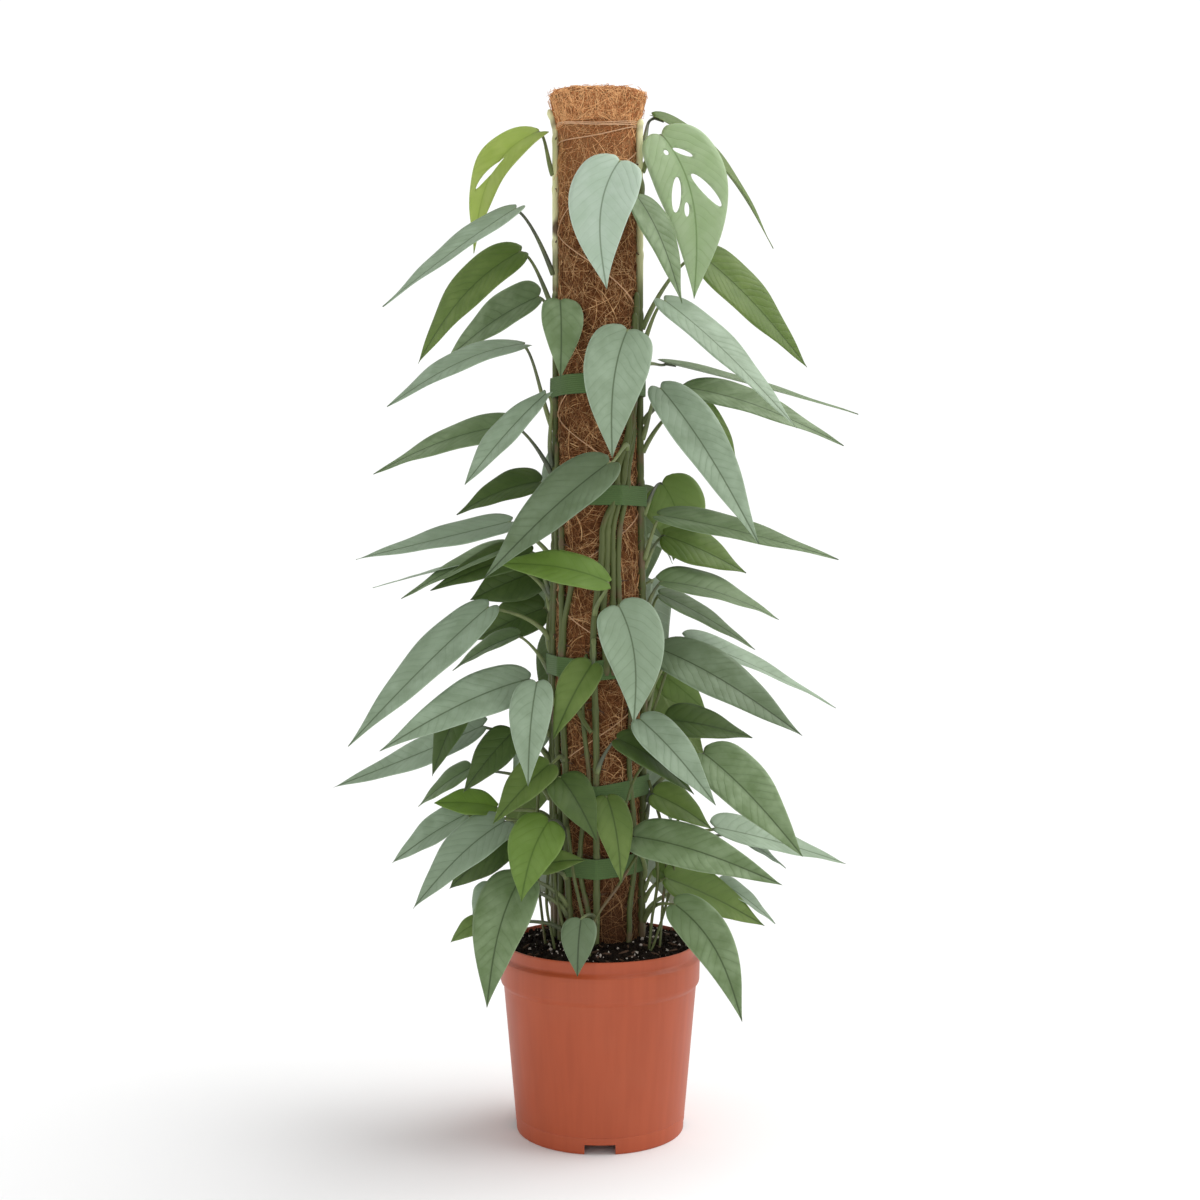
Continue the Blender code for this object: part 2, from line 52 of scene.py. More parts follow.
# Camera: level, at mid height, as far away as the pot's ellipses say
CAMERA_DISTANCE = 1.43
CAMERA_HEIGHT = 0.5
CAMERA_LENS = 45.0

# Studio: the key light's strength, spread in degrees and direction, and half the floor's side in metres
KEY_STRENGTH = 2.3
KEY_SPREAD = 55.0
KEY_DIRECTION = (0.62, 0.16, 1.0)
FLOOR_REACH = 14.0

# Pot
POT_HEIGHT = 176.0
POT_WALL = 1.8
POT_FOOT_RADIUS = 79.0
POT_NECK_RADIUS = 91.5
POT_BAND_RADIUS = 95.0
POT_LIP_RADIUS = 91.0
POT_BAND_BOTTOM = 136.0
POT_LIP_BOTTOM = 166.0
POT_FLOOR_BOTTOM = 10.0
POT_SEGMENTS = 160
FOOT_SLOT_WIDTH = 28.0
FOOT_SLOT_HEIGHT = 9.0
DRAIN_HOLE_RADIUS = 5.0
DRAIN_RING_RADIUS = 48.0
DRAIN_HOLES = 8

# Soil
SOIL_TOP = 161.0
SOIL_MOUND = 20.0
# Where grains lie, from the pole out to the wall, and how many there are of each kind
GRAIN_RING = (42.0, 87.0)
BARK_RING = (44, 84)
CRUMBS = 1500
PERLITE_GRAINS = 210
BARK_BITS = 70

# Pole
POLE_X = -2.0
POLE_TOP = 974.0
COIR_PROFILE = (
    (40.0, 38.0),
    (200.0, 38.5),
    (330.0, 40.0),
    (450.0, 40.5),
    (560.0, 38.0),
    (700.0, 37.0),
    (948.0, 37.2),
    (957.0, 39.2),
    (966.0, 42.8),
    (971.0, 44.2),
    (POLE_TOP, 43.6),
)
COIR_SKIN = 0.5
TWINE_RADIUS = 0.55
# The flared top's section: distance along it, radius and height.
TOP_RUN = (
    (0.0, 8.0, 18.0, 23.0, 27.0, 30.0, 34.0, 40.0, 50.0),
    (37.2, 38.6, 42.6, 44.2, 43.4, 41.0, 37.0, 31.0, 22.0),
    (947.0, 955.0, 965.0, 970.0, 973.4, 975.2, 975.4, 973.4, 969.4),
)
# The top's rim is higher at its two sides: by how much, from which height, over what run and reach.
TOP_RISE = 6.0
TOP_RISE_START = 952.0
TOP_RISE_RUN = 18.0
TOP_RISE_REACH = 44.0

# Layers of loose coir fibres: seed, number, the share that stands off, radii, and light or brown.
Fibres = namedtuple("Fibres", "name seed number stray thin thick light")
SLEEVE_FIBRES = (
    Fibres("coir_fibres_light", 21, 4600, 0.06, 0.12, 0.26, True),
    Fibres("coir_fibres_brown", 22, 5200, 0.03, 0.14, 0.34, False),
    Fibres("coir_ribbons", 25, 420, 0.0, 0.32, 0.55, True),
)
TOP_FIBRES = (
    Fibres("coir_top_light", 23, 1900, 0.12, 0.2, 0.46, True),
    Fibres("coir_top_brown", 24, 1300, 0.12, 0.16, 0.36, False),
)

# Stems: radius, and bearing around the pole in degrees at each height
STEM_STAND_OFF = -0.4
Stem = namedtuple("Stem", "radius route")
STEMS = {
    "left": Stem(3.6, ((140, 188), (260, 184), (500, 180), (760, 178), (968, 178))),
    "right": Stem(3.8, ((140, -8), (260, -8), (500, -8), (760, -12), (955, -14))),
    "front": Stem(3.2, ((140, -92), (330, -92), (470, -95), (560, -84), (620, -52), (700, -30), (790, -24))),
    "front_left": Stem(3.2, ((140, -128), (300, -134), (450, -142), (570, -146))),
    "back": Stem(3.6, ((140, 100), (400, 92), (700, 84), (900, 86))),
}

# Thinner stems that cross the front of the pole, by the same kind of route.
SIDE_STEMS = {
    "bundle_1": Stem(
        3.2, ((430, -80), (500, -82), (560, -78), (615, -62), (665, -44), (720, -32), (770, -28))
    ),
    "bundle_2": Stem(
        2.9, ((430, -70), (500, -72), (560, -69), (615, -54), (665, -37), (720, -25), (750, -22))
    ),
    "bundle_3": Stem(
        2.7, ((420, -60), (500, -62), (560, -60), (615, -46), (665, -30), (720, -19), (740, -17))
    ),
    "left_front": Stem(2.9, ((150, -150), (260, -146), (380, -152), (470, -138), (522, -124))),
    "left_outer": Stem(2.6, ((150, -168), (300, -164), (450, -170), (600, -164), (650, -168))),
    "low_front": Stem(2.4, ((150, -106), (200, -102), (250, -114), (330, -102), (400, -110), (450, -104))),
    "low_right": Stem(2.6, ((150, -52), (200, -44), (260, -32), (340, -46), (420, -42), (470, -36))),
}

# Loose shoots and stalks near the soil and across the front: radius and the points they pass.
Shoot = namedtuple("Shoot", "radius points")
SHOOTS = (
    Shoot(1.7, ((-30, -44, 292), (-24, -50, 246), (-15, -58, 205), (-12, -62, 158))),
    Shoot(1.5, ((34, -34, 262), (16, -50, 236), (-6, -62, 204), (-10, -64, 160))),
    Shoot(2.6, ((-22, -41, 402), (-15, -45, 388), (-8, -50, 378))),
    Shoot(1.6, ((-44, -24, 280), (-50, -30, 222), (-44, -36, 186), (-38, -40, 156))),
    Shoot(1.5, ((-40, -28, 300), (-42, -38, 240), (-32, -46, 190), (-24, -50, 156))),
    Shoot(1.7, ((42, -20, 300), (54, -26, 248), (48, -34, 200), (44, -38, 156))),
    Shoot(1.6, ((46, -14, 330), (62, -20, 268), (58, -30, 210), (54, -34, 156))),
    Shoot(1.5, ((74, -18, 300), (68, -24, 240), (52, -36, 186), (38, -46, 156))),
    Shoot(1.6, ((-58, -10, 330), (-60, -14, 260), (-54, -22, 200), (-48, -28, 156))),
    Shoot(1.5, ((66, -38, 448), (54, -36, 410), (44, -30, 380), (38, -26, 346))),
    Shoot(1.4, ((44, -30, 352), (30, -42, 330), (22, -46, 300), (20, -45, 270))),
)

# Ties
TIE_HEIGHTS = (702.0, 598.0, 440.0, 326.0, 254.0)
TIE_BAND = 18.5
TIE_THICKNESS = 1.3
# How far each tie dips at the front, from the top one down
TIE_DIPS = (1.0, 1.0, 5.0, 7.0, 3.0)

# Leaves
PETIOLE_RADIUS = 1.45
LOBE = 0.035
BLADE_ROWS = 32
BLADE_COLUMNS = 12
BLADE_THICKNESS = 0.55
SIDE_VEIN_STEP = 10.5
# Size on the blade of the map that its materials read
BLADE_MAP_WIDTH = 100.0
BLADE_MAP_LENGTH = 250.0
OUTLINE = (
    (0.0, 0.30), (0.015, 0.50), (0.05, 0.73), (0.11, 0.90), (0.19, 0.98), (0.28, 1.0), (0.38, 0.96),
    (0.5, 0.84), (0.62, 0.665), (0.74, 0.455), (0.84, 0.27), (0.91, 0.145), (0.96, 0.06), (1.0, 0.0),
)
# Blades that are widest further out: the power that moves the outline towards the tip.
LATE_BLADES = {"front_3": 1.8, "front_5": 1.3, "left_4": 1.25, "right_7": 1.2, "light_left": 1.5}

# One row a leaf: the stalk leaves `stem` at height `start`; `base` and `tip` are the blade's ends;
# `turn` is 0 edge-on to the viewer and 90 facing; `arch` and `sway` bend the midrib out and sideways,
# as shares of the blade's length.
Leaf = namedtuple("Leaf", "name stem start base tip width turn arch tone sway", defaults=[0.0])
LEAVES = (
    Leaf("top_front", "right", 881, (18, -72, 897), (6, -94, 777), 63, 82, 0.08, "frost", 0.09),
    Leaf("top_left", "left", 905, (-58, -6, 944), (-120, -6, 829), 54, 50, 0.2, "lime"),
    Leaf("top_right", "right", 905, (58, -10, 940), (88, -24, 782), 72, 80, 0.08, "pale", -0.085),
    Leaf("top_inner", "right", 857, (34, -46, 872), (74, -74, 768), 42, 52, 0.06, "green_silver"),
    Leaf("top_back", "right", 929, (54, 25, 968), (172, 60, 849), 48, 26, 0.09, "green"),
    Leaf("left_1", "left", 810, (-78, -42, 862), (-192, -105, 759), 50, 38, 0.015, "silver"),
    Leaf("left_2", "left", 777, (-76, 1, 832), (-177, 30, 730), 55, 50, 0.1, "green"),
    Leaf("left_3", "left", 757, (-60, 26, 794), (-156, 80, 740), 56, 46, 0.05, "green_silver"),
    Leaf("left_4", "left", 662, (-72, -15, 741), (-193, -70, 675), 48, 38, 0.07, "silver"),
    Leaf("left_5", "left", 618, (-81, -5, 666), (-222, 40, 623), 50, 40, 0.06, "green_silver"),
    Leaf("left_6", "left", 538, (-85, -10, 574), (-223, -60, 537), 50, 32, 0.0, "silver"),
    Leaf("left_7", "left", 462, (-105, -20, 493), (-227, -80, 368), 56, 44, 0.02, "silver"),
    Leaf("left_8", "left", 386, (-66, -32, 426), (-197, -90, 365), 50, 58, 0.08, "silver"),
    Leaf("left_9", "left", 348, (-112, -5, 380), (-263, 50, 315), 46, 34, -0.01, "silver"),
    Leaf("left_10", "left", 278, (-89, -30, 293), (-169, -75, 221), 54, 45, 0.07, "silver"),
    Leaf("right_1", "right", 757, (96, 5, 830), (203, 40, 728), 58, 50, 0.04, "green"),
    Leaf("right_2", "right", 738, (60, -36, 778), (175, -95, 653), 52, 44, 0.03, "silver"),
    Leaf("right_3", "right", 718, (64, 20, 729), (260, 80, 687), 50, 14, 0.005, "green_silver"),
    Leaf("right_4", "right", 667, (82, 0, 702), (226, -40, 643), 52, 40, 0.05, "green_silver"),
    Leaf("right_5", "right", 652, (56, -40, 696), (143, -80, 550), 52, 62, 0.05, "silver"),
    Leaf("right_6", "right", 538, (57, -22, 579), (218, -60, 537), 52, 30, 0.02, "green_silver"),
    Leaf("right_7", "right", 490, (58, -12, 517), (174, 30, 481), 50, 32, 0.06, "green_silver"),
    Leaf("right_8", "right", 405, (85, 10, 462), (236, 70, 392), 46, 22, 0.02, "silver"),
    Leaf("right_9", "right", 414, (56, -40, 454), (180, -95, 379), 56, 48, 0.05, "silver_deep"),
    Leaf("right_10", "right", 309, (97, -25, 356), (184, -70, 267), 56, 58, 0.06, "green_silver"),
    Leaf("right_11", "right", 270, (111, 5, 282), (244, 60, 238), 48, 26, 0.02, "silver"),
    Leaf("right_12", "right", 236, (32, -50, 282), (162, -100, 247), 50, 45, 0.06, "green_silver"),
    Leaf("right_13", "right", 214, (62, -30, 240), (158, 10, 187), 46, 42, 0.04, "green"),
    Leaf("front_1", "left", 743, (-37, -42, 777), (-36, -62, 702), 39, 80, 0.08, "green_silver"),
    Leaf("front_2", "right", 722, (25, -66, 745), (11, -86, 627), 60, 85, 0.08, "silver", 0.05),
    Leaf("front_3", "left", 627, (-50, -45, 690), (-122, -75, 604), 42, 45, 0.03, "silver"),
    Leaf("front_4", "front", 640, (8, -70, 624), (-102, -100, 520), 56, 55, 0.04, "silver_deep"),
    Leaf("front_5", "front", 486, (7, -72, 516), (-94, -78, 533), 40, 50, 0.09, "bright"),
    Leaf("front_6", "right", 462, (17, -68, 494), (30, -88, 390), 58, 85, 0.08, "silver", -0.07),
    Leaf("front_7", "front", 460, (-7, -72, 442), (-42, -92, 375), 36, 70, 0.08, "green"),
    Leaf("front_8", "front_left", 386, (-57, -74, 425), (-64, -94, 334), 40, 75, 0.08, "silver"),
    Leaf("front_9", "right", 352, (37, -52, 390), (105, -72, 314), 44, 52, 0.05, "silver"),
    Leaf("front_10", "front_left", 350, (-46, -62, 350), (-96, -84, 299), 40, 55, 0.05, "green"),
    Leaf("front_11", "front", 300, (6, -60, 320), (19, -80, 245), 36, 65, 0.1, "green"),
    Leaf("front_12", "front_left", 280, (-46, -74, 300), (-70, -98, 232), 50, 75, 0.06, "bright", 0.05),
    Leaf("low_left", "front_left", 214, (-72, -56, 246), (-99, -118, 143), 54, 75, 0.07, "green_silver", 0.04),
    Leaf("low_right", "right", 195, (68, -62, 222), (126, -100, 126), 42, 72, 0.08, "green_silver", -0.08),
    Leaf("low_front", "front", 200, (-17, -88, 214), (-20, -104, 167), 32, 80, 0.1, "silver_deep"),
    Leaf("back_1", "back", 640, (12, 82, 690), (26, 120, 588), 56, 84, 0.09, "silver"),
    Leaf("back_2", "back", 420, (-28, 80, 470), (-52, 120, 366), 56, 80, 0.09, "dark"),
)

# Smaller and half-hidden leaves, which only this model has.
EXTRA_LEAVES = (
    Leaf("sliver_right", "right", 640, (88, 8, 690), (136, 14, 603), 42, 45, 0.06, "green"),
    Leaf("lime_right", "right", 580, (60, 30, 613), (71, 25, 538), 62, 82, 0.06, "olive", -0.12),
    Leaf("green_left_1", "left", 575, (-58, 22, 614), (-140, 34, 583), 44, 45, 0.08, "dark"),
    Leaf("grey_left_1", "left", 520, (-90, 18, 552), (-194, 34, 501), 42, 25, 0.03, "green_silver"),
    Leaf("grey_left_2", "left", 500, (-90, 30, 540), (-226, 62, 512), 40, 10, 0.02, "silver"),
    Leaf("dark_left_1", "left", 505, (-66, 6, 545), (-163, 12, 509), 42, 48, 0.04, "dark"),
    Leaf("dark_left_2", "left", 490, (-56, 34, 530), (-128, 46, 500), 50, 70, 0.05, "dark"),
    Leaf("dark_left_3", "left", 452, (-55, 38, 492), (-124, 52, 460), 48, 62, 0.05, "dark"),
    Leaf("small_left_1", "left", 430, (-78, 6, 466), (-142, 14, 432), 34, 26, 0.05, "green_silver"),
    Leaf("thin_right_1", "right", 530, (48, 32, 558), (72, 62, 536), 24, 14, 0.1, "green_silver"),
    Leaf("green_right_1", "right", 530, (62, 16, 562), (142, 28, 526), 50, 55, 0.04, "green"),
    Leaf("grey_right_1", "right", 470, (58, 8, 505), (150, 20, 452), 38, 30, 0.03, "green_silver"),
    Leaf("lime_right_2", "right", 390, (60, 26, 428), (104, 32, 391), 34, 75, 0.08, "olive"),
    Leaf("dark_right_1", "right", 360, (64, -6, 386), (146, 6, 368), 40, 50, 0.05, "dark"),
    Leaf("dark_right_2", "front", 340, (16, -52, 372), (86, -58, 322), 38, 42, 0.08, "dark"),
    Leaf("dark_left_4", "left", 370, (-128, -18, 404), (-157, -28, 335), 34, 60, 0.05, "dark"),
    Leaf("dark_left_5", "left", 345, (-82, -28, 376), (-127, -36, 321), 40, 60, 0.05, "dark"),
    Leaf("small_left_2", "left", 310, (-125, 12, 338), (-176, 22, 300), 34, 30, 0.04, "green_silver"),
    Leaf("light_left", "left", 290, (-98, -12, 304), (-156, -20, 309), 34, 40, 0.06, "bright"),
    Leaf("grey_left_3", "left", 268, (-129, 8, 294), (-200, 12, 247), 44, 32, 0.03, "silver"),
    Leaf("dark_left_6", "left", 240, (-88, -4, 271), (-144, 2, 224), 44, 55, 0.06, "dark"),
    Leaf("yellow_left", "front_left", 185, (-106, -42, 203), (-138, -46, 184), 24, 40, 0.12, "olive"),
    Leaf("small_left_3", "front_left", 205, (-98, -60, 239), (-116, -66, 213), 26, 50, 0.12, "silver"),
    Leaf("small_front_1", "front_left", 240, (-54, -58, 256), (-13, -64, 263), 24, 52, 0.12, "green"),
    Leaf("dark_front", "front_left", 320, (-36, -70, 339), (-3, -92, 285), 40, 65, 0.1, "dark"),
    Leaf("green_right_2", "right", 290, (50, -24, 318), (105, -26, 285), 40, 46, 0.06, "green"),
    Leaf("thin_right_3", "right", 250, (128, 20, 275), (182, 40, 237), 36, 14, 0.02, "silver"),
    Leaf("thin_right_4", "right", 200, (116, 14, 228), (170, 24, 186), 34, 16, 0.03, "silver"),
    Leaf("small_right", "right", 225, (52, -14, 246), (74, -18, 234), 18, 60, 0.1, "olive"),
)

# Leaves at the back: height of the blade's base, its sideways place, the tip's sideways and downward reach.
# How far behind the pole's axis their bases and tips are is drawn from two ranges.
BACK_BASES = (66.0, 84.0)
BACK_TIPS = (100.0, 124.0)
BackLeaf = namedtuple("BackLeaf", "height aside lean drop tone")
BACK_LEAVES = (
    BackLeaf(900, -6, 10, 104, "green_silver"),
    BackLeaf(846, 10, -14, 108, "silver"),
    BackLeaf(790, -14, 4, 106, "silver"),
    BackLeaf(742, 16, 10, 102, "green"),
    BackLeaf(650, -26, -26, 100, "silver"),
    BackLeaf(610, 34, 22, 104, "green_silver"),
    BackLeaf(560, 0, 16, 106, "silver"),
    BackLeaf(545, -44, -34, 92, "green_silver"),
    BackLeaf(520, 48, 38, 90, "silver"),
    BackLeaf(440, 20, 26, 104, "silver"),
    BackLeaf(424, 58, 36, 84, "green"),
    BackLeaf(408, -60, -40, 88, "silver"),
    BackLeaf(368, 4, -12, 104, "green_silver"),
    BackLeaf(350, 52, 34, 90, "silver"),
    BackLeaf(330, -50, -30, 92, "green"),
    BackLeaf(290, 24, 18, 98, "silver"),
    BackLeaf(272, -28, -22, 96, "green_silver"),
    BackLeaf(252, 62, 30, 82, "silver"),
    BackLeaf(240, -66, -26, 80, "silver"),
)

# Colours of the upper face, of the veins, of the light that comes through, and how much comes through. Some
# upper colours also paint the light their leaves show: a reflection, shade or light from behind.
Tone = namedtuple("Tone", "upper deep vein through share")
TONES = {
    # painted reflection: the silver upper colour with the broad sheen of a blade facing the viewer
    "frost": Tone((0.53, 0.65, 0.53), (0.44, 0.57, 0.43), (0.17, 0.23, 0.15), (0.25, 0.38, 0.12), 0.10),
    "silver": Tone((0.36, 0.47, 0.33), (0.26, 0.35, 0.23), (0.08, 0.12, 0.055), (0.25, 0.38, 0.12), 0.10),
    # painted shade: a shaded copy of the silver upper colour
    "silver_deep": Tone((0.19, 0.26, 0.155), (0.125, 0.18, 0.09), (0.04, 0.06, 0.025), (0.2, 0.3, 0.08), 0.08),
    "green_silver": Tone(
        (0.26, 0.355, 0.19), (0.145, 0.22, 0.088), (0.05, 0.08, 0.03), (0.25, 0.4, 0.08), 0.14
    ),
    "green": Tone((0.20, 0.285, 0.075), (0.125, 0.20, 0.04), (0.055, 0.09, 0.022), (0.30, 0.45, 0.05), 0.28),
    # painted shade: a shaded copy of the green, for leaves deep inside and behind the plant
    "dark": Tone((0.105, 0.165, 0.042), (0.066, 0.115, 0.025), (0.035, 0.06, 0.014), (0.2, 0.32, 0.04), 0.2),
    "bright": Tone((0.24, 0.37, 0.09), (0.17, 0.28, 0.052), (0.08, 0.135, 0.028), (0.42, 0.6, 0.08), 0.35),
    "olive": Tone((0.24, 0.34, 0.11), (0.17, 0.26, 0.075), (0.10, 0.16, 0.04), (0.45, 0.6, 0.16), 0.3),
    "lime": Tone((0.44, 0.51, 0.18), (0.33, 0.42, 0.11), (0.20, 0.26, 0.08), (0.7, 0.85, 0.22), 0.45),
    # painted light: a light green with the glow of a blade lit through from behind
    "pale": Tone((0.47, 0.58, 0.37), (0.38, 0.50, 0.28), (0.17, 0.25, 0.11), (0.6, 0.8, 0.38), 0.3),
}

# Materials of one grain: its stretch, scale, detail and roughness; dark and light colour;
# how matt the surface is; and the bump's strength and depth in metres.
Grain = namedtuple("Grain", "stretch scale detail roughness dark light matt bump depth")
GRAINS = {
    "twine": Grain(
        (500.0, 500.0, 900.0), 1.0, 3.0, 0.5, (0.46, 0.24, 0.12), (0.78, 0.50, 0.30), 0.85, 0.6, 0.0005
    ),
    "perlite": Grain(
        (1.0, 1.0, 1.0), 600.0, 4.0, 0.7, (0.42, 0.34, 0.29), (0.78, 0.72, 0.66), 0.8, 0.6, 0.001
    ),
    "bark_bits": Grain(
        (300.0, 90.0, 300.0), 1.0, 5.0, 0.7, (0.035, 0.018, 0.01), (0.17, 0.09, 0.05), 0.85, 0.7, 0.001
    ),
    "pale_wood": Grain(
        (160.0, 160.0, 8.0), 1.0, 4.0, 0.5, (0.20, 0.12, 0.06), (0.42, 0.29, 0.17), 0.75, 0.3, 0.001
    ),
}

# Long holes of the two most mature leaves: along the blade, across it, length, width and slant.
Slit = namedtuple("Slit", "along across length width slant")
SLITS = {
    "top_left": (Slit(60, 3, 40, 6.0, 22),),
    "top_right": (
        Slit(21, 8.5, 6, 5.0, 0),
        Slit(22.5, -7, 20, 5.2, -52),
        Slit(64, -14.5, 42, 9.0, -30),
        Slit(65, 15, 36, 9.0, 15),
        Slit(80, 7.5, 14, 5.0, 11),
    ),
}


def smooth_reading(table, at):
    """Reads a table of (place, value) rows, easing from each row to the next."""
    for (low, first), (high, last) in zip(table, table[1:]):
        if at <= high:
            share = min(1.0, max(0.0, (at - low) / (high - low)))
            share = share * share * (3 - 2 * share)
            return first + (last - first) * share
    return table[-1][1]


def coir_radius(height):
    return smooth_reading(COIR_PROFILE, height)


def stem_place(stem, height):
    """Centre of a stem at a height, standing just off the coir."""
    bearing = math.radians(smooth_reading(stem.route, height))
    radius = coir_radius(height) + STEM_STAND_OFF + stem.radius
    return POLE_X + radius * math.cos(bearing), radius * math.sin(bearing)


# Materials


class Look:
    """A material whose nodes are written in reading order."""

    def __init__(self, name):
        self.material = bpy.data.materials.new(name)
        self.material.use_nodes = True
        self.tree = self.material.node_tree
        self.shader = self.tree.nodes["Principled BSDF"]
        self.output = self.tree.nodes["Material Output"]

    def add(self, kind, inputs=(), **settings):
        node = self.tree.nodes.new(kind)
        for key, value in settings.items():
            setattr(node, key, value)
        for key, value in dict(inputs).items():
            self.put(node, key, value)
        return node

    def put(self, node, key, value):
        if isinstance(value, bpy.types.NodeSocket):
            self.tree.links.new(value, node.inputs[key])
        else:
            node.inputs[key].default_value = value

    def set(self, **values):
        for key, value in values.items():
            self.put(self.shader, key.replace("_", " "), value)

    def math(self, operation, a, b=0.0):
        return self.add("ShaderNodeMath", {0: a, 1: b, 2: 0.0}, operation=operation).outputs[0]

    def times(self, a, b):
        return self.math("MULTIPLY", a, b)

    def plus(self, a, b):
        return self.math("ADD", a, b)

    def minus(self, a, b):
        return self.math("SUBTRACT", a, b)

    def ramp(self, factor, stops):
        node = self.add("ShaderNodeValToRGB", {0: factor})
        ramp = node.color_ramp
        ramp.interpolation = "LINEAR"
        while len(ramp.elements) < len(stops):
            ramp.elements.new(0.5)
        for element, (place, colour) in zip(ramp.elements, stops):
            element.position = place
            element.color = (*colour, 1.0)
        return node.outputs[0]

    def mask(self, factor, low, high):
        """0 below low, 1 above high, smooth between."""
        inputs = {"Value": factor, "From Min": low, "From Max": high}
        return self.add("ShaderNodeMapRange", inputs, interpolation_type="SMOOTHSTEP").outputs[0]

    def mix(self, factor, a, b, blend="MIX"):
        node = self.add("ShaderNodeMix", data_type="RGBA", blend_type=blend)
        self.put(node, 0, factor)
        self.put(node, 6, (*a, 1.0) if isinstance(a, tuple) else a)
        self.put(node, 7, (*b, 1.0) if isinstance(b, tuple) else b)
        return node.outputs[2]

    def place(self, scale=(1.0, 1.0, 1.0)):
        """The point on the object in metres, stretched by a scale."""
        coordinates = self.add("ShaderNodeTexCoord").outputs["Object"]
        return self.add("ShaderNodeMapping", {"Vector": coordinates, "Scale": scale}).outputs[0]

    def noise(self, vector, scale, detail=3.0, roughness=0.5, distortion=0.0):
        inputs = {
            "Vector": vector, "Scale": scale, "Detail": detail,
            "Roughness": roughness, "Distortion": distortion,
        }
        return self.add("ShaderNodeTexNoise", inputs).outputs[0]

    def bump(self, height, strength, distance):
        inputs = {"Height": height, "Strength": strength, "Distance": distance}
        return self.add("ShaderNodeBump", inputs).outputs[0]


def vein_places(look):
    """Distance from the midrib in millimetres, and the phase of the side veins."""
    uv = look.add("ShaderNodeUVMap", uv_map="blade").outputs[0]
    parts = look.add("ShaderNodeSeparateXYZ", {0: uv})
    across = look.times(look.minus(parts.outputs[0], 0.5), BLADE_MAP_WIDTH)
    side = look.math("ABSOLUTE", across)
    along = look.times(parts.outputs[1], BLADE_MAP_LENGTH)
    wander = look.times(look.noise(look.place(), 32.0, 2.0), 14.0)
    curve = look.times(look.math("POWER", side, 2.0), 0.014)
    lean = look.plus(look.times(side, 0.8), curve)
    offset = look.times(look.math("SIGN", across), 1.8)
    run = look.plus(look.minus(along, lean), look.plus(offset, wander))
    return side, look.math("DIVIDE", run, SIDE_VEIN_STEP)


def ridge(look, phase, core, edge):
    """1 on the veins, 0 between them."""
    saw = look.math("ABSOLUTE", look.minus(look.math("FRACT", phase), 0.5))
    return look.minus(1.0, look.mask(saw, core, edge))


def leaf_upper_look(name, tone):
    """Silvery or green upper face: midrib, curved side veins, pale margin and soft mottling, with painted
    shade along the folded midrib and towards the blade's base.
    """
    look = Look("leaf_upper_" + name)
    side, phase = vein_places(look)
    rim = look.add("ShaderNodeUVMap", uv_map="rim").outputs[0]
    rim_parts = look.add("ShaderNodeSeparateXYZ", {0: rim})
    margin = look.mask(rim_parts.outputs[0], 0.93, 1.0)
    toward_tip = rim_parts.outputs[1]
    midrib = look.minus(1.0, look.mask(side, 0.25, 1.1))
    trough_shade = look.minus(1.0, look.mask(side, 0.5, 7.0))
    veins = ridge(look, phase, 0.0, 0.09)
    shade = ridge(look, phase, 0.0, 0.42)
    fine = ridge(look, look.times(phase, 3.0), 0.03, 0.3)
    point = look.place()
    mottle = look.noise(point, 55.0, 3.0, 0.55)
    region = look.noise(point, 11.0, 1.0)
    ground = look.mix(look.mask(mottle, 0.3, 0.75), tone.upper, tone.deep)
    ground = look.mix(look.times(look.mask(region, 0.42, 0.62), 0.55), ground, tone.deep)
    strong = look.mask(look.noise(point, 38.0, 2.0), 0.38, 0.62)
    veins = look.times(veins, look.plus(0.35, look.times(strong, 0.65)))
    ground = look.mix(look.times(look.times(shade, strong), 0.4), ground, tone.deep)
    # painted shade: darker in the fold along the midrib
    ground = look.mix(look.times(trough_shade, 0.35), ground, tone.deep)
    # painted shade: the blade is darker towards its base, where less light falls
    ground = look.mix(look.times(look.mask(toward_tip, 0.35, 0.0), 0.3), ground, tone.deep)
    ground = look.mix(look.times(fine, 0.02), ground, tone.vein)
    ground = look.mix(look.times(veins, 0.15), ground, tone.vein)
    ground = look.mix(look.times(midrib, 0.8), ground, tone.vein)
    pale = tuple(min(1.0, 1.35 * value + 0.06) for value in tone.upper)
    ground = look.mix(look.times(margin, 0.5), ground, pale)
    look.set(Base_Color=ground, Roughness=0.5, Specular_IOR_Level=0.35)
    height = look.plus(look.times(veins, -0.5), look.times(shade, -0.35))
    height = look.plus(height, look.times(midrib, -0.6))
    look.set(Normal=look.bump(height, 0.35, 0.0012))
    return translucent(look, tone)


def leaf_under_look(name, tone):
    """Paler matt underside with raised veins."""
    look = Look("leaf_under_" + name)
    side, phase = vein_places(look)
    midrib = look.minus(1.0, look.mask(side, 0.5, 1.5))
    veins = ridge(look, phase, 0.02, 0.12)
    mottle = look.noise(look.place(), 80.0, 3.0)
    pale = tuple(min(1.0, 0.85 * value + 0.05) for value in tone.upper)
    light = tuple(min(1.0, 1.25 * value + 0.04) for value in pale)
    ground = look.mix(mottle, pale, tuple(0.8 * value for value in pale))
    ground = look.mix(look.times(veins, 0.25), ground, light)
    ground = look.mix(look.times(midrib, 0.7), ground, light)
    look.set(Base_Color=ground, Roughness=0.62, Specular_IOR_Level=0.25)
    height = look.plus(look.times(veins, 0.6), midrib)
    look.set(Normal=look.bump(height, 0.3, 0.001))
    return translucent(look, tone)


def translucent(look, tone):
    """Lets some light through the blade, tinted as sap-green."""
    glow = look.add("ShaderNodeBsdfTranslucent", {"Color": (*tone.through, 1.0)})
    blend = look.add("ShaderNodeMixShader", {0: tone.share})
    look.tree.links.new(look.shader.outputs[0], blend.inputs[1])
    look.tree.links.new(glow.outputs[0], blend.inputs[2])
    look.tree.links.new(blend.outputs[0], look.output.inputs["Surface"])
    return look.material


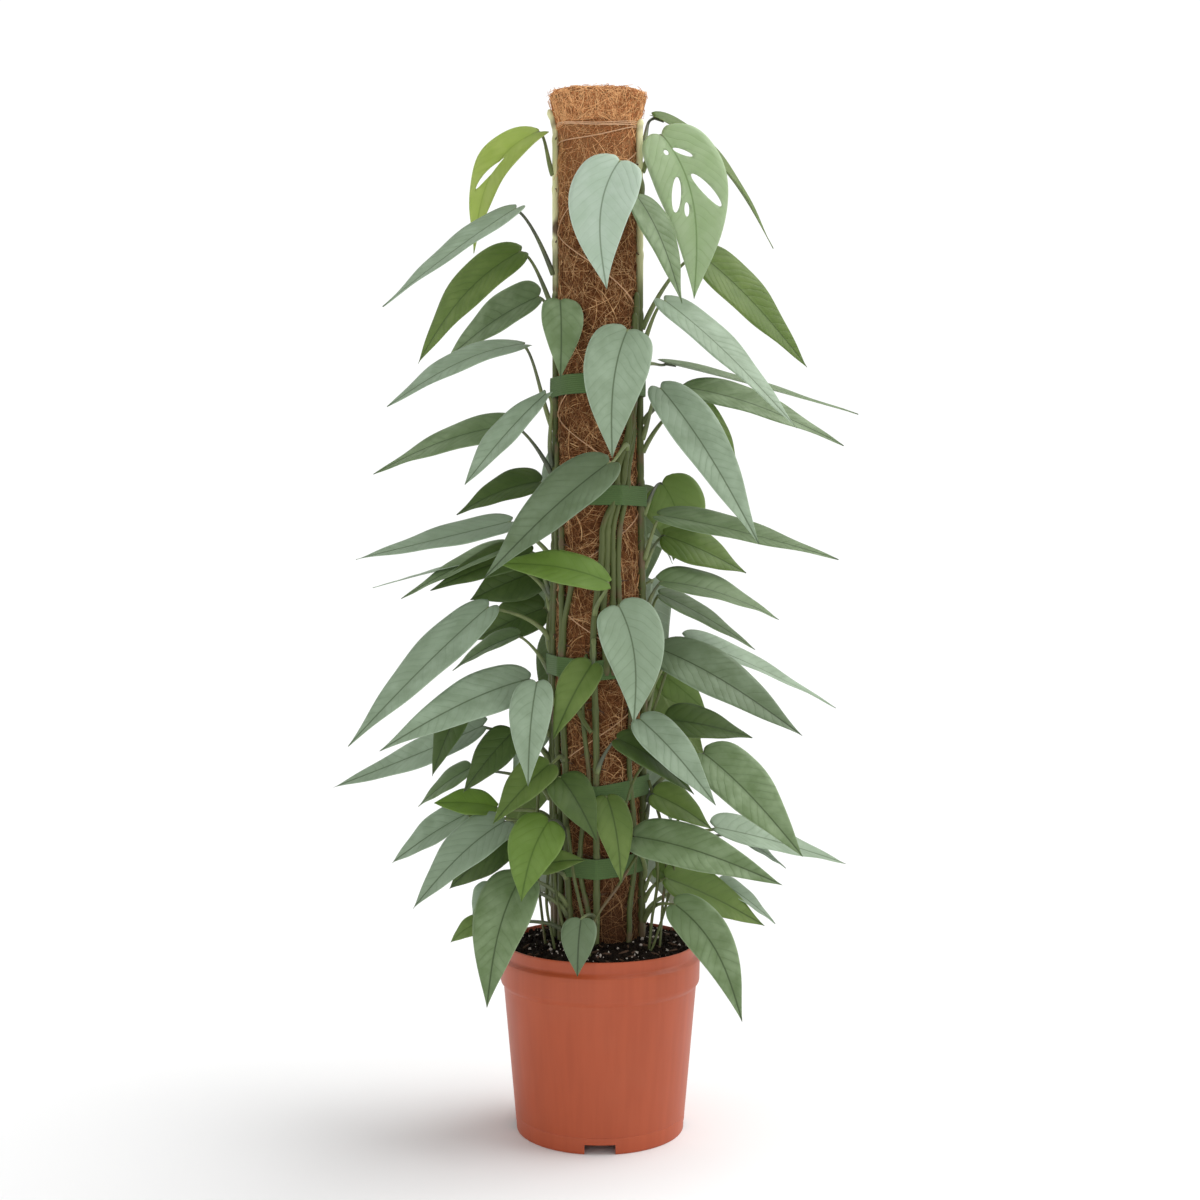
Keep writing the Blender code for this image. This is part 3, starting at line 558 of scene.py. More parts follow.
def stalk_look():
    """Slender stalks: green, with a grey-purple bloom in patches."""
    look = Look("leaf_stalk")
    streaks = look.noise(look.place((220.0, 220.0, 30.0)), 1.0, 3.0)
    patch = look.noise(look.place(), 18.0, 2.0)
    green = look.mix(streaks, (0.25, 0.29, 0.12), (0.15, 0.19, 0.07))
    look.set(Base_Color=look.mix(look.mask(patch, 0.47, 0.62), green, (0.10, 0.115, 0.075)))
    look.set(Roughness=0.5, Specular_IOR_Level=0.4)
    return look.material


def stem_look():
    """Climbing stems: dark green below, pale yellow-green where young, with fine streaks."""
    look = Look("stem")
    point = look.add("ShaderNodeTexCoord").outputs["Object"]
    height = look.add("ShaderNodeSeparateXYZ", {0: point}).outputs[2]
    streaks = look.noise(look.place((400.0, 400.0, 22.0)), 1.0, 4.0)
    patch = look.noise(look.place(), 30.0, 2.0)
    old = look.mix(streaks, (0.055, 0.075, 0.02), (0.14, 0.165, 0.048))
    young = look.mix(streaks, (0.66, 0.66, 0.33), (0.86, 0.84, 0.54))
    age = look.mask(look.plus(height, look.times(patch, 0.10)), 0.82, 0.90)
    colour = look.mix(age, old, young)
    colour = look.mix(look.mask(patch, 0.55, 0.68), colour, (0.15, 0.10, 0.05))
    look.set(Base_Color=colour, Roughness=0.5, Specular_IOR_Level=0.4)
    look.set(Normal=look.bump(streaks, 0.25, 0.0006))
    return look.material


def height_mask(look, low, high):
    """0 below one height in metres, 1 above another."""
    point = look.add("ShaderNodeTexCoord").outputs["Object"]
    height = look.add("ShaderNodeSeparateXYZ", {0: point}).outputs[2]
    return look.mask(height, low, high)


def lit_top_mask(look):
    """1 near the pole's top, where the coir is painted lighter because the leaves cast no shade there, falling
    to 0 below it.
    """
    return height_mask(look, 0.80, 0.965)


def moist_shade_mask(look):
    """1 where the pole is darker above the soil, partly moist coir and partly painted shade under the leaves,
    falling to 0 higher up.
    """
    return look.minus(1.0, height_mask(look, 0.19, 0.34))


def coir_look():
    """Matted coconut fibre between the loose strands: painted light towards the top, and darker near the soil,
    partly moist coir and partly painted shade.
    """
    look = Look("coir_mat")
    one = look.noise(look.place((90.0, 90.0, 420.0)), 1.0, 6.0, 0.75, 1.5)
    two = look.noise(look.place((420.0, 420.0, 80.0)), 1.0, 6.0, 0.75, 1.5)
    fibres = look.times(one, two)
    patch = look.noise(look.place(), 26.0, 3.0)
    browns = ((0.14, (0.035, 0.012, 0.005)), (0.28, (0.19, 0.072, 0.025)), (0.42, (0.44, 0.21, 0.08)))
    colour = look.ramp(fibres, browns)
    colour = look.mix(look.times(patch, 0.35), colour, (0.13, 0.048, 0.017))
    # painted light: the coir is lighter towards the unshaded top
    colour = look.mix(look.times(lit_top_mask(look), 0.5), colour, (0.62, 0.30, 0.125))
    # moist coir and painted shade: darker just above the soil
    colour = look.mix(look.times(moist_shade_mask(look), 0.7), colour, (0.05, 0.02, 0.011))
    look.set(Base_Color=colour, Roughness=0.95, Specular_IOR_Level=0.1)
    look.set(Normal=look.bump(fibres, 0.9, 0.003))
    return look.material


def fibre_look(name, dark, light):
    """Loose coir strands in one family of browns: painted light towards the top, and darker near the soil,
    partly moist strands and partly painted shade.
    """
    look = Look(name)
    tint = look.noise(look.place(), 140.0, 3.0, 0.7)
    colour = look.mix(look.mask(tint, 0.35, 0.65), dark, light)
    # painted light: strands are lighter towards the unshaded top
    lit_top_colour = (min(1.0, 1.3 * light[0] + 0.06), 1.12 * light[1] + 0.02, 1.0 * light[2] + 0.01)
    colour = look.mix(look.times(lit_top_mask(look), 0.7), colour, lit_top_colour)
    # moist strands and painted shade: darker just above the soil
    moist_and_shade = tuple(0.35 * value for value in dark)
    colour = look.mix(look.times(moist_shade_mask(look), 0.65), colour, moist_and_shade)
    look.set(Base_Color=colour, Roughness=0.75)
    look.set(Specular_IOR_Level=0.25)
    return look.material


def tie_look():
    """Flat green plant tie: fine woven face with lighter fuzz and patches."""
    look = Look("tie")
    waves = {"Vector": look.place(), "Scale": 160.0}
    weave = look.add("ShaderNodeTexWave", waves, bands_direction="Z").outputs[1]
    fuzz = look.noise(look.place(), 700.0, 4.0, 0.7)
    patch = look.noise(look.place(), 40.0, 2.0)
    colour = look.mix(fuzz, (0.062, 0.115, 0.034), (0.10, 0.175, 0.054))
    colour = look.mix(look.times(patch, 0.4), colour, (0.11, 0.18, 0.06))
    colour = look.mix(look.times(weave, 0.2), colour, (0.045, 0.085, 0.03))
    look.set(Base_Color=colour, Roughness=0.8, Specular_IOR_Level=0.3)
    look.set(Sheen_Weight=0.1, Sheen_Roughness=0.5)
    look.set(Normal=look.bump(look.plus(weave, fuzz), 0.3, 0.0005))
    return look.material


def pot_look():
    """Satin terracotta-coloured plastic: faint upright flow lines, a little dust and scuffing."""
    look = Look("terracotta_plastic")
    streaks = look.noise(look.place((120.0, 120.0, 3.0)), 1.0, 3.0)
    cloud = look.noise(look.place(), 14.0, 3.0)
    grain = look.noise(look.place(), 1500.0, 2.0)
    colour = look.mix(look.mask(streaks, 0.3, 0.7), (0.38, 0.063, 0.015), (0.42, 0.073, 0.019))
    colour = look.mix(look.times(look.mask(cloud, 0.45, 0.75), 0.2), colour, (0.43, 0.10, 0.04))
    look.set(Base_Color=colour, Specular_IOR_Level=0.5)
    look.set(Roughness=look.plus(0.40, look.times(cloud, 0.12)))
    height = look.plus(look.times(grain, 0.4), look.times(streaks, 0.6))
    look.set(Normal=look.bump(height, 0.12, 0.0004))
    return look.material


def soil_look():
    look = Look("potting_soil")
    grain = look.noise(look.place(), 320.0, 6.0, 0.75)
    patch = look.noise(look.place(), 45.0, 3.0)
    darks = ((0.35, (0.006, 0.004, 0.003)), (0.55, (0.022, 0.013, 0.008)), (0.72, (0.065, 0.04, 0.024)))
    colour = look.ramp(grain, darks)
    colour = look.mix(look.times(patch, 0.4), colour, (0.012, 0.008, 0.006))
    look.set(Base_Color=colour, Roughness=0.95, Specular_IOR_Level=0.15)
    look.set(Normal=look.bump(grain, 0.9, 0.003))
    return look.material


def grain_look(name):
    """A material of one grain between two colours."""
    look = Look(name)
    row = GRAINS[name]
    grain = look.noise(look.place(row.stretch), row.scale, row.detail, row.roughness)
    look.set(Base_Color=look.mix(grain, row.dark, row.light), Roughness=row.matt)
    look.set(Normal=look.bump(grain, row.bump, row.depth))
    return look.material


# Mesh helpers


def finish_piece(name, mesh, looks, replaced=()):
    """Link a piece, give it its materials, and tie it to the part."""
    for look in looks:
        mesh.materials.append(look)
    obj = bpy.data.objects.new(name, mesh)
    bpy.context.scene.collection.objects.link(obj)
    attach(obj, BODY)
    if replaced:
        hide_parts(*replaced)
    return obj


def make_piece(name, shape, look, replaced=(), smooth_angle=None):
    """A piece of one material from its points and faces."""
    return finish_piece(name, mesh_of(name, *shape, smooth_angle), [look], replaced)


def mesh_of(name, points, faces, smooth_angle=None):
    """A mesh in metres from points in millimetres."""
    mesh = bpy.data.meshes.new(name)
    mesh.from_pydata([(p[0] * MM, p[1] * MM, p[2] * MM) for p in points], [], faces)
    mesh.shade_smooth()
    if smooth_angle:
        mesh.set_sharp_from_angle(angle=math.radians(smooth_angle))
    return mesh


def ring_faces(rings, count):
    """Four-sided faces between closed sections of `count` points, the last one joined to the first."""
    faces = []
    for ring in range(rings):
        here, there = ring * count, (ring + 1) % rings * count
        for i in range(count):
            j = (i + 1) % count
            faces.append((here + i, there + i, there + j, here + j))
    return faces


def turned(profile, segments, centre_x=0.0):
    """Points and faces of a closed profile of (radius, height) turned about an upright axis."""
    points = []
    for step in range(segments):
        angle = 2 * math.pi * step / segments
        for radius, height in profile:
            points.append((centre_x + radius * math.cos(angle), radius * math.sin(angle), height))
    return points, ring_faces(segments, len(profile))


def tube(points, radii, sides):
    """Points and faces of a round tube, capped at both ends."""
    made, faces = [], []
    across = None
    for i, point in enumerate(points):
        forward = (points[min(i + 1, len(points) - 1)] - points[max(i - 1, 0)]).normalized()
        if across is None:
            across = forward.orthogonal()
        across = (across - forward * across.dot(forward)).normalized()
        other = forward.cross(across)
        for step in range(sides):
            angle = 2 * math.pi * step / sides
            made.append(point + (across * math.cos(angle) + other * math.sin(angle)) * radii[i])
    for i in range(len(points) - 1):
        for step in range(sides):
            after = (step + 1) % sides
            here, there = i * sides, (i + 1) * sides
            faces.append((here + step, here + after, there + after, there + step))
    faces.append(tuple(reversed(range(sides))))
    last = (len(points) - 1) * sides
    faces.append(tuple(range(last, last + sides)))
    return made, faces


def joined(parts):
    """Several (points, faces) pairs as one."""
    points, faces = [], []
    for more_points, more_faces in parts:
        start = len(points)
        points.extend(more_points)
        faces.extend(tuple(start + index for index in face) for face in more_faces)
    return points, faces


def strands(name, lines, radii, look):
    """Many thin three-sided fibres at once; lines is (fibre, point, xyz)."""
    count, steps, _ = lines.shape
    forward = np.gradient(lines, axis=1)
    forward /= np.linalg.norm(forward, axis=2, keepdims=True) + 1e-9
    reference = np.where(np.abs(forward[..., 2:]) > 0.9, np.array([1.0, 0, 0]), np.array([0, 0, 1.0]))
    across = np.cross(forward, reference)
    across /= np.linalg.norm(across, axis=2, keepdims=True) + 1e-9
    other = np.cross(forward, across)
    rings = []
    for side in range(3):
        angle = 2 * math.pi * side / 3
        rings.append(lines + (across * math.cos(angle) + other * math.sin(angle)) * radii[:, None, None])
    points = np.stack(rings, axis=2).reshape(-1, 3)
    base = (np.arange(count) * steps * 3)[:, None, None, None]
    row = (np.arange(steps - 1) * 3)[None, :, None, None]
    side = np.arange(3)[None, None, :, None]
    after = (side + 1) % 3
    quads = np.concatenate([row + side, row + after, row + 3 + after, row + 3 + side], axis=3) + base
    faces = [tuple(face) for face in quads.reshape(-1, 4).tolist()]
    for fibre in range(count):
        start = fibre * steps * 3
        end = start + (steps - 1) * 3
        faces.append((start + 2, start + 1, start))
        faces.append((end, end + 1, end + 2))
    return make_piece(name, (points.tolist(), faces), look)


# Pot


def rounded(profile, reach=0.7, steps=2):
    """The same outline with each corner cut back and rounded."""
    made = []
    count = len(profile)
    for i, corner in enumerate(profile):
        corner = Vector(corner)
        before = Vector(profile[i - 1])
        after = Vector(profile[(i + 1) % count])
        cut = min(reach, (before - corner).length / 3, (after - corner).length / 3)
        first = corner + (before - corner).normalized() * cut
        last = corner + (after - corner).normalized() * cut
        for step in range(steps + 1):
            t = step / steps
            made.append(tuple(first * (1 - t) ** 2 + corner * 2 * t * (1 - t) + last * t * t))
    return made


def box_solid(size, centre):
    """A block for cutting."""
    bm = bmesh.new()
    bmesh.ops.create_cube(bm, size=1.0)
    for vert in bm.verts:
        vert.co = Vector([(vert.co[i] * size[i] + centre[i]) * MM for i in range(3)])
    return bm


def cut_away(obj, bm):
    """Subtract a solid from a piece, for good."""
    mesh = bpy.data.meshes.new("cutter")
    bmesh.ops.recalc_face_normals(bm, faces=bm.faces)
    bm.to_mesh(mesh)
    bm.free()
    cutter = bpy.data.objects.new("cutter", mesh)
    bpy.context.scene.collection.objects.link(cutter)
    modifier = obj.modifiers.new("cut", "BOOLEAN")
    modifier.operation = "DIFFERENCE"
    modifier.object = cutter
    graph = bpy.context.evaluated_depsgraph_get()
    result = bpy.data.meshes.new_from_object(obj.evaluated_get(graph))
    obj.modifiers.remove(modifier)
    bpy.data.objects.remove(cutter, do_unlink=True)
    result.name = obj.data.name + "_cut"
    obj.data = result


def make_pot():
    """The pot: lip, shoulder band, straight wall, foot ring with slots, raised floor with drain holes."""
    inner = POT_WALL
    profile = [
        (POT_FOOT_RADIUS, 0.0),
        (POT_FOOT_RADIUS + 0.7, 3.0),
        (POT_FOOT_RADIUS + 1.3, 14.4),
        (POT_FOOT_RADIUS + 1.0, 15.0),
        (POT_FOOT_RADIUS + 1.5, 15.8),
        (POT_NECK_RADIUS, POT_BAND_BOTTOM),
        (POT_BAND_RADIUS - 0.9, POT_BAND_BOTTOM + 3.4),
        (POT_BAND_RADIUS - 0.4, POT_BAND_BOTTOM + 6.0),
        (POT_BAND_RADIUS, POT_BAND_BOTTOM + 22.0),
        (POT_BAND_RADIUS - 0.3, POT_LIP_BOTTOM - 4.0),
        (POT_LIP_RADIUS + 0.2, POT_LIP_BOTTOM - 1.6),
        (POT_LIP_RADIUS - 0.7, POT_LIP_BOTTOM),
        (POT_LIP_RADIUS + 0.4, POT_HEIGHT - 1.6),
        (POT_LIP_RADIUS, POT_HEIGHT),
        (POT_LIP_RADIUS - inner, POT_HEIGHT - 0.2),
        (POT_LIP_RADIUS - inner - 0.6, POT_LIP_BOTTOM - 1.0),
        (POT_BAND_RADIUS - inner - 1.2, POT_LIP_BOTTOM - 6.0),
        (POT_BAND_RADIUS - inner - 0.8, POT_BAND_BOTTOM + 5.0),
        (POT_NECK_RADIUS - inner, POT_BAND_BOTTOM - 2.0),
        (POT_FOOT_RADIUS + 1.3 - inner, POT_FLOOR_BOTTOM + inner + 3.0),
        (POT_FOOT_RADIUS - 6.0, POT_FLOOR_BOTTOM + inner),
        (2.0, POT_FLOOR_BOTTOM + inner),
        (2.0, POT_FLOOR_BOTTOM),
        (POT_FOOT_RADIUS - 7.0, POT_FLOOR_BOTTOM),
        (POT_FOOT_RADIUS - 2 * inner, 0.0),
    ]
    shape = turned(rounded(profile), POT_SEGMENTS)
    pot = make_piece("nursery_pot", shape, pot_look(), ["pot"])
    reach = 2.4 * POT_FOOT_RADIUS
    cut_away(pot, box_solid((FOOT_SLOT_WIDTH, reach, 2 * FOOT_SLOT_HEIGHT), (0, 0, 0)))
    cut_away(pot, box_solid((reach, FOOT_SLOT_WIDTH, 2 * FOOT_SLOT_HEIGHT), (0, 0, 0)))
    holes = bmesh.new()
    radius = DRAIN_HOLE_RADIUS * MM
    for step in range(DRAIN_HOLES):
        angle = 2 * math.pi * (step + 0.5) / DRAIN_HOLES
        ring = bmesh.ops.create_cone(
            holes, cap_ends=True, segments=28, radius1=radius, radius2=radius, depth=20 * MM
        )
        x, y = math.cos(angle) * DRAIN_RING_RADIUS, math.sin(angle) * DRAIN_RING_RADIUS
        shift = Vector((x, y, POT_FLOOR_BOTTOM + 1.0))
        bmesh.ops.translate(holes, vec=shift * MM, verts=ring["verts"])
    cut_away(pot, holes)
    pot.data.shade_smooth()
    pot.data.set_sharp_from_angle(angle=math.radians(38))


# Soil


def soil_height(x, y):
    """Top of the soil: a low mound to the pole, with lumps."""
    away = math.hypot(x, y)
    mound = 8.5 + SOIL_MOUND * max(0.0, 1.0 - away / 90.0) + 3.5 * max(0.0, y / 90.0)
    lumps = 1.1 * math.sin(x * 0.21 + 1.3) * math.cos(y * 0.17) + 0.7 * math.sin(x * 0.47 - y * 0.39)
    return SOIL_TOP + mound + lumps


def make_soil():
    """The root ball with a lumpy top."""
    inner = POT_WALL + 0.3
    low = POT_FLOOR_BOTTOM + POT_WALL + 0.3
    edge = POT_NECK_RADIUS - inner
    profile = [
        (0.5, low),
        (POT_FOOT_RADIUS - 8.0, low),
        (POT_FOOT_RADIUS + 0.6 - inner, low + 4.0),
        (edge - 0.3, POT_BAND_BOTTOM - 3.0),
    ]
    rings = 26
    for ring in range(rings + 1):
        profile.append((edge * (1 - ring / rings) + 0.5 * ring / rings, SOIL_TOP))
    points, faces = turned(profile, 96)
    lumpy = []
    for x, y, z in points:
        on_top = z == SOIL_TOP and math.hypot(x, y) < edge - 0.1
        lumpy.append((x, y, soil_height(x, y) if on_top else z))
    make_piece("root_ball", (lumpy, faces), soil_look(), ["potting_soil"])


def lump(chance, centre, size):
    """A small irregular grain."""
    bm = bmesh.new()
    bmesh.ops.create_icosphere(bm, subdivisions=1, radius=1.0)
    stretch = [chance.uniform(0.6, 1.25) for _ in range(3)]
    points = []
    for vert in bm.verts:
        bulge = chance.uniform(0.72, 1.2)
        points.append(tuple(centre[i] + vert.co[i] * stretch[i] * bulge * size for i in range(3)))
    faces = [tuple(vert.index for vert in face.verts) for face in bm.faces]
    bm.free()
    return points, faces


def scattered(chance, count, small, large, lift):
    """Grains over the soil between the pole and the pot's wall, lifted by a share of their size."""
    grains = []
    while len(grains) < count:
        radius = math.sqrt(chance.uniform(GRAIN_RING[0] ** 2, GRAIN_RING[1] ** 2))
        bearing = chance.uniform(0, 2 * math.pi)
        x, y = radius * math.cos(bearing), radius * math.sin(bearing)
        size = small + (large - small) * chance.random() ** 2.5
        grains.append(lump(chance, (x, y, soil_height(x, y) + size * lift), size))
    return joined(grains)


def make_soil_grains():
    """Crumbs of peat, perlite and a few bits of bark."""
    chance = random.Random(11)
    crumbs = scattered(chance, CRUMBS, 0.8, 3.0, 0.2)
    make_piece("soil_crumbs", crumbs, soil_look())
    perlite = scattered(chance, PERLITE_GRAINS, 0.7, 2.0, 0.45)
    make_piece("perlite_grains", perlite, grain_look("perlite"))
    chips = []
    for _ in range(BARK_BITS):
        radius, bearing = chance.uniform(*BARK_RING), chance.uniform(0, 2 * math.pi)
        x, y = radius * math.cos(bearing), radius * math.sin(bearing)
        way = Vector((chance.uniform(-1, 1), chance.uniform(-1, 1), chance.uniform(-0.1, 0.35))).normalized()
        length = chance.uniform(4, 11)
        start = Vector((x, y, soil_height(x, y) + 1.0))
        line = [start + way * length * t for t in (-0.5, -0.2, 0.2, 0.5)]
        chips.append(tube(line, [0.5, 1.0, 0.9, 0.4], 5))
    make_piece("bark_bits", joined(chips), grain_look("bark_bits"), smooth_angle=30)


# Pole


def edge_rise(aside, height):
    """How much higher the flared top stands at the sides than in front, for one place or an array."""
    toward_side = np.clip((aside / TOP_RISE_REACH) ** 2, 0.0, 1.0)
    return TOP_RISE * toward_side * np.clip((height - TOP_RISE_START) / TOP_RISE_RUN, 0.0, 1.0)


def make_coir_mat():
    """The sleeve's rough ground, from the soil to the hollowed top."""
    chance = random.Random(5)
    heights = [40.0 + (POLE_TOP - 44.0) * step / 300 for step in range(301)]
    profile = [(coir_radius(height) - COIR_SKIN, height) for height in heights]
    profile += [(43.2, 972.6), (41.5, 974.2), (38.5, 975.0), (35.0, 974.6), (31.0, 973.0), (26.0, 970.5)]
    profile += [(20.0, 968.5), (15.4, POLE_TOP - 7.0), (15.4, 40.0)]
    points, faces = turned(profile, 110, POLE_X)
    rough = []
    for x, y, z in points:
        away = math.hypot(x - POLE_X, y)
        swell = chance.uniform(-0.7, 0.5) if away > 16.0 else 0.0
        scale = (away + swell) / away
        level = z + 0.6 * swell + edge_rise(x - POLE_X, z)
        rough.append((POLE_X + (x - POLE_X) * scale, y * scale, level))
    make_piece("coir_mat", (rough, faces), coir_look(), ["coir_sleeve"])


def surface_fibres(layer):
    """Lines of fibres that lie on the sleeve in all directions, some of them standing off."""
    draw = np.random.default_rng(layer.seed)
    each = (layer.number, 1)
    steps = 5
    share = np.linspace(0.0, 1.0, steps)[None, :]
    height = draw.uniform(150.0, POLE_TOP - 6.0, each)
    bearing = draw.uniform(0, 2 * math.pi, each)
    way = draw.uniform(0, 2 * math.pi, each) + draw.normal(0, 0.5, each) * share
    length = draw.uniform(12.0, 44.0, each)
    upward = height + np.sin(way) * length * (share - 0.5)
    upward = np.clip(upward, 148.0, POLE_TOP + 1.0)
    reach = np.interp(upward, [row[0] for row in COIR_PROFILE], [row[1] for row in COIR_PROFILE])
    turn = bearing + np.cos(way) * length * (share - 0.5) / 38.0
    lift = draw.uniform(-0.9, 0.7, each) + 0.5 * np.sin(math.pi * share)
    stray = (draw.random(each) < layer.stray) * draw.uniform(1.5, 5.5, each)
    lift = lift + stray * share**2
    for tie in TIE_HEIGHTS:
        lift = np.where(np.abs(upward - tie) < TIE_BAND, np.minimum(lift, 0.7), lift)
    radius = reach + lift
    return np.stack([POLE_X + radius * np.cos(turn), radius * np.sin(turn), upward], axis=2), draw


def top_fibres(layer):
    """Matted fibres that roll over the flared top edge, with a few brushed ends."""
    draw = np.random.default_rng(layer.seed)
    each = (layer.number, 1)
    share = np.linspace(0.0, 1.0, 5)[None, :]
    # Distance along the section: up the flare, over the edge, and in across the hollow top.
    start = draw.uniform(0.0, 46.0, each)
    way = draw.uniform(0, 2 * math.pi, each) + draw.normal(0, 0.6, each) * share
    length = draw.uniform(9.0, 30.0, each)
    run = np.clip(start + np.sin(way) * length * (share - 0.5), 0.0, 50.0)
    radius = np.interp(run, TOP_RUN[0], TOP_RUN[1])
    height = np.interp(run, TOP_RUN[0], TOP_RUN[2])
    turn = draw.uniform(0, 2 * math.pi, each) + np.cos(way) * length * (share - 0.5) / 40.0
    lift = draw.uniform(-0.4, 1.0, each) + 0.8 * np.sin(math.pi * share)
    stray = (draw.random(each) < layer.stray) * draw.uniform(1.0, 5.0, each) * share**2
    outward = np.clip((radius - 30.0) / 14.0, 0.0, 1.0)
    radius = radius + (lift + stray) * outward
    height = height + (lift + stray) * (1.0 - 0.6 * outward) * (run > 18.0)
    height = height + edge_rise(radius * np.cos(turn), height)
    return np.stack([POLE_X + radius * np.cos(turn), radius * np.sin(turn), height], axis=2), draw


def make_coir_fibres():
    """Loose fibres over the sleeve and its flared top, in two browns."""
    light = fibre_look("coir_light", (0.48, 0.24, 0.095), (0.78, 0.48, 0.24))
    brown = fibre_look("coir_brown", (0.20, 0.075, 0.026), (0.44, 0.20, 0.075))
    for fibres, layers in ((surface_fibres, SLEEVE_FIBRES), (top_fibres, TOP_FIBRES)):
        for layer in layers:
            lines, draw = fibres(layer)
            radii = draw.uniform(layer.thin, layer.thick, len(lines))
            strands(layer.name, lines, radii, light if layer.light else brown)


def ring_line(height, tilt, bearing, turns=1.0, rise=0.0, lift=0.0):
    """A turn of twine round the sleeve, tilted towards a bearing and lifted at the two sides."""
    points = []
    steps = int(64 * turns)
    for step in range(steps + 1):
        angle = 2 * math.pi * step / 64
        level = height + tilt * math.cos(angle - bearing) + rise * step / 64 + lift * math.cos(angle) ** 2
        radius = coir_radius(level) + 1.0
        points.append(Vector((POLE_X + radius * math.cos(angle), radius * math.sin(angle), level)))
    return points


def make_twine():
    """Level turns below the top and loose crossing turns down the pole."""
    runs = [
        ring_line(945.0, 0.8, 0.4, 2.0, -1.7, 8.5),
        ring_line(942.0, 1.8, 2.6, 1.0, 0.6, 8.0),
        ring_line(932.0, 7.5, 0.0, 1.0, 0.0, 8.5),
        ring_line(938.0, 0.0, 0.0, 4.0, -172.0),
        ring_line(244.0, 0.0, 1.7, 4.0, 172.0),
    ]
    turns = joined([tube(line, [TWINE_RADIUS] * len(line), 6) for line in runs])
    make_piece("twine_turns", turns, grain_look("twine"), ["twine"])


def make_stake():
    """The stake's end grain shows in the middle of the pole's top."""
    foot, top = 40.0, 966.0
    upright = [(15.0, foot + 2.0), (15.0, top - 3.0), (14.2, top - 0.4)]
    profile = [(0.3, foot), (14.0, foot), *upright, (12.0, top), (0.3, top)]
    make_piece("stake", turned(profile, 48, POLE_X), grain_look("pale_wood"), ["core_stake"], 40)


# Ties


def outline_support(circles, steps):
    """The taut line round a set of circles, as points at even bearings."""
    points = []
    for step in range(steps):
        angle = 2 * math.pi * step / steps
        way = Vector((math.cos(angle), math.sin(angle)))
        best = max(circles, key=lambda circle: Vector(circle[:2]).dot(way) + circle[2])
        points.append(Vector(best[:2]) + way * best[2])
    return points


def tie_section():
    """A band's section as (thickness, level): flat on the pole, slightly crowned outside."""
    edges = 8
    section = [(0.0, -TIE_BAND / 2)]
    for edge in range(edges + 1):
        crown = 0.25 * (1 - (2 * edge / edges - 1) ** 2)
        section.append((TIE_THICKNESS + crown, (edge / edges - 0.5) * TIE_BAND))
    section.append((0.0, TIE_BAND / 2))
    return section


def make_ties():
    """Each band lies taut round the pole and its stems, and dips at the front."""
    look = tie_look()
    section = tie_section()
    for number, (height, dip) in enumerate(zip(TIE_HEIGHTS, TIE_DIPS), 1):
        circles = [(POLE_X, 0.0, coir_radius(height) + 2.0)]
        for stem in STEMS.values():
            if stem.route[-1][0] > height + TIE_BAND:
                circles.append((*stem_place(stem, height), stem.radius + 0.5))
        line = outline_support(circles, 120)
        points = []
        for i, place in enumerate(line):
            run = (line[(i + 1) % len(line)] - line[i - 1]).normalized()
            out = Vector((run.y, -run.x))
            sag = -dip * max(0.0, -place.y / 45.0) ** 2
            for thick, level in section:
                flat = place + out * thick
                points.append((flat.x, flat.y, height + level + sag))
        name = f"tie_band_{number}"
        shape = points, ring_faces(len(line), len(section))
        make_piece(name, shape, look, [f"tie_{number}"], 45)


# Stems


def stem_tube(stem, order):
    """Centre line, radii and nodes of one stem; the side stems wander more."""
    sway = 0.5 if order < len(STEMS) else 0.9
    low, top = stem.route[0][0], stem.route[-1][0]
    chance = random.Random(40 + order)
    nodes = []
    level = max(175.0, low + 8.0)
    while level < top - 8:
        nodes.append(level)
        level += chance.uniform(34.0, 62.0)
    points, radii = [], []
    steps = int((top - low) / 3.0)
    for step in range(steps + 1):
        height = low + (top - low) * step / steps
        x, y = stem_place(stem, height)
        nearest = min(nodes, key=lambda node: abs(node - height))
        swell = 0.18 * math.exp(-(((height - nearest) / 3.6) ** 2))
        groove = -0.12 * math.exp(-(((height - nearest - 5.0) / 1.6) ** 2))
        thin = 1.0 - 0.12 * (height - low) / (top - low)
        wave = sway * (math.sin(height * 0.045 + order * 1.7) + 0.35 * math.sin(height * 0.09 + order))
        points.append(Vector((x - wave * y / 42.0, y + wave * (x - POLE_X) / 42.0, height)))
        radii.append(stem.radius * thin * (1.0 + swell + groove))
    radii[0] *= 0.7
    radii[-1] *= 0.5
    return points, radii, nodes


def node_roots(stem, nodes, chance):
    """Short clinging roots in pairs at the nodes."""
    roots = []
    for node in nodes:
        x, y = stem_place(stem, node)
        inward = Vector((POLE_X - x, -y, 0.0)).normalized()
        aside = Vector((-inward.y, inward.x, 0.0))
        for side in (-1, 1):
            start = Vector((x, y, node)) + aside * side * stem.radius * 0.6
            reach = chance.uniform(4.0, 9.0)
            drop = chance.uniform(-5.0, 2.0)
            line = []
            for t in (0.0, 0.35, 0.7, 1.0):
                sink = Vector((0, 0, drop * t * t))
                line.append(start + aside * (side * t * reach) + inward * (1.6 * t) + sink)
            roots.append(tube(line, [0.8, 0.7, 0.5, 0.25], 5))
    return roots


def spline(places, steps):
    """A smooth line through a few points."""
    made = []
    ends = [places[0] * 2 - places[1], *places, places[-1] * 2 - places[-2]]
    for a, b, c, d in zip(ends, ends[1:], ends[2:], ends[3:]):
        for step in range(steps):
            t = step / steps
            square = (a * 2 - b * 5 + c * 4 - d) * t**2
            cube = (b * 3 - a - c * 3 + d) * t**3
            made.append((b * 2 + (c - a) * t + square + cube) * 0.5)
    made.append(places[-1])
    return made


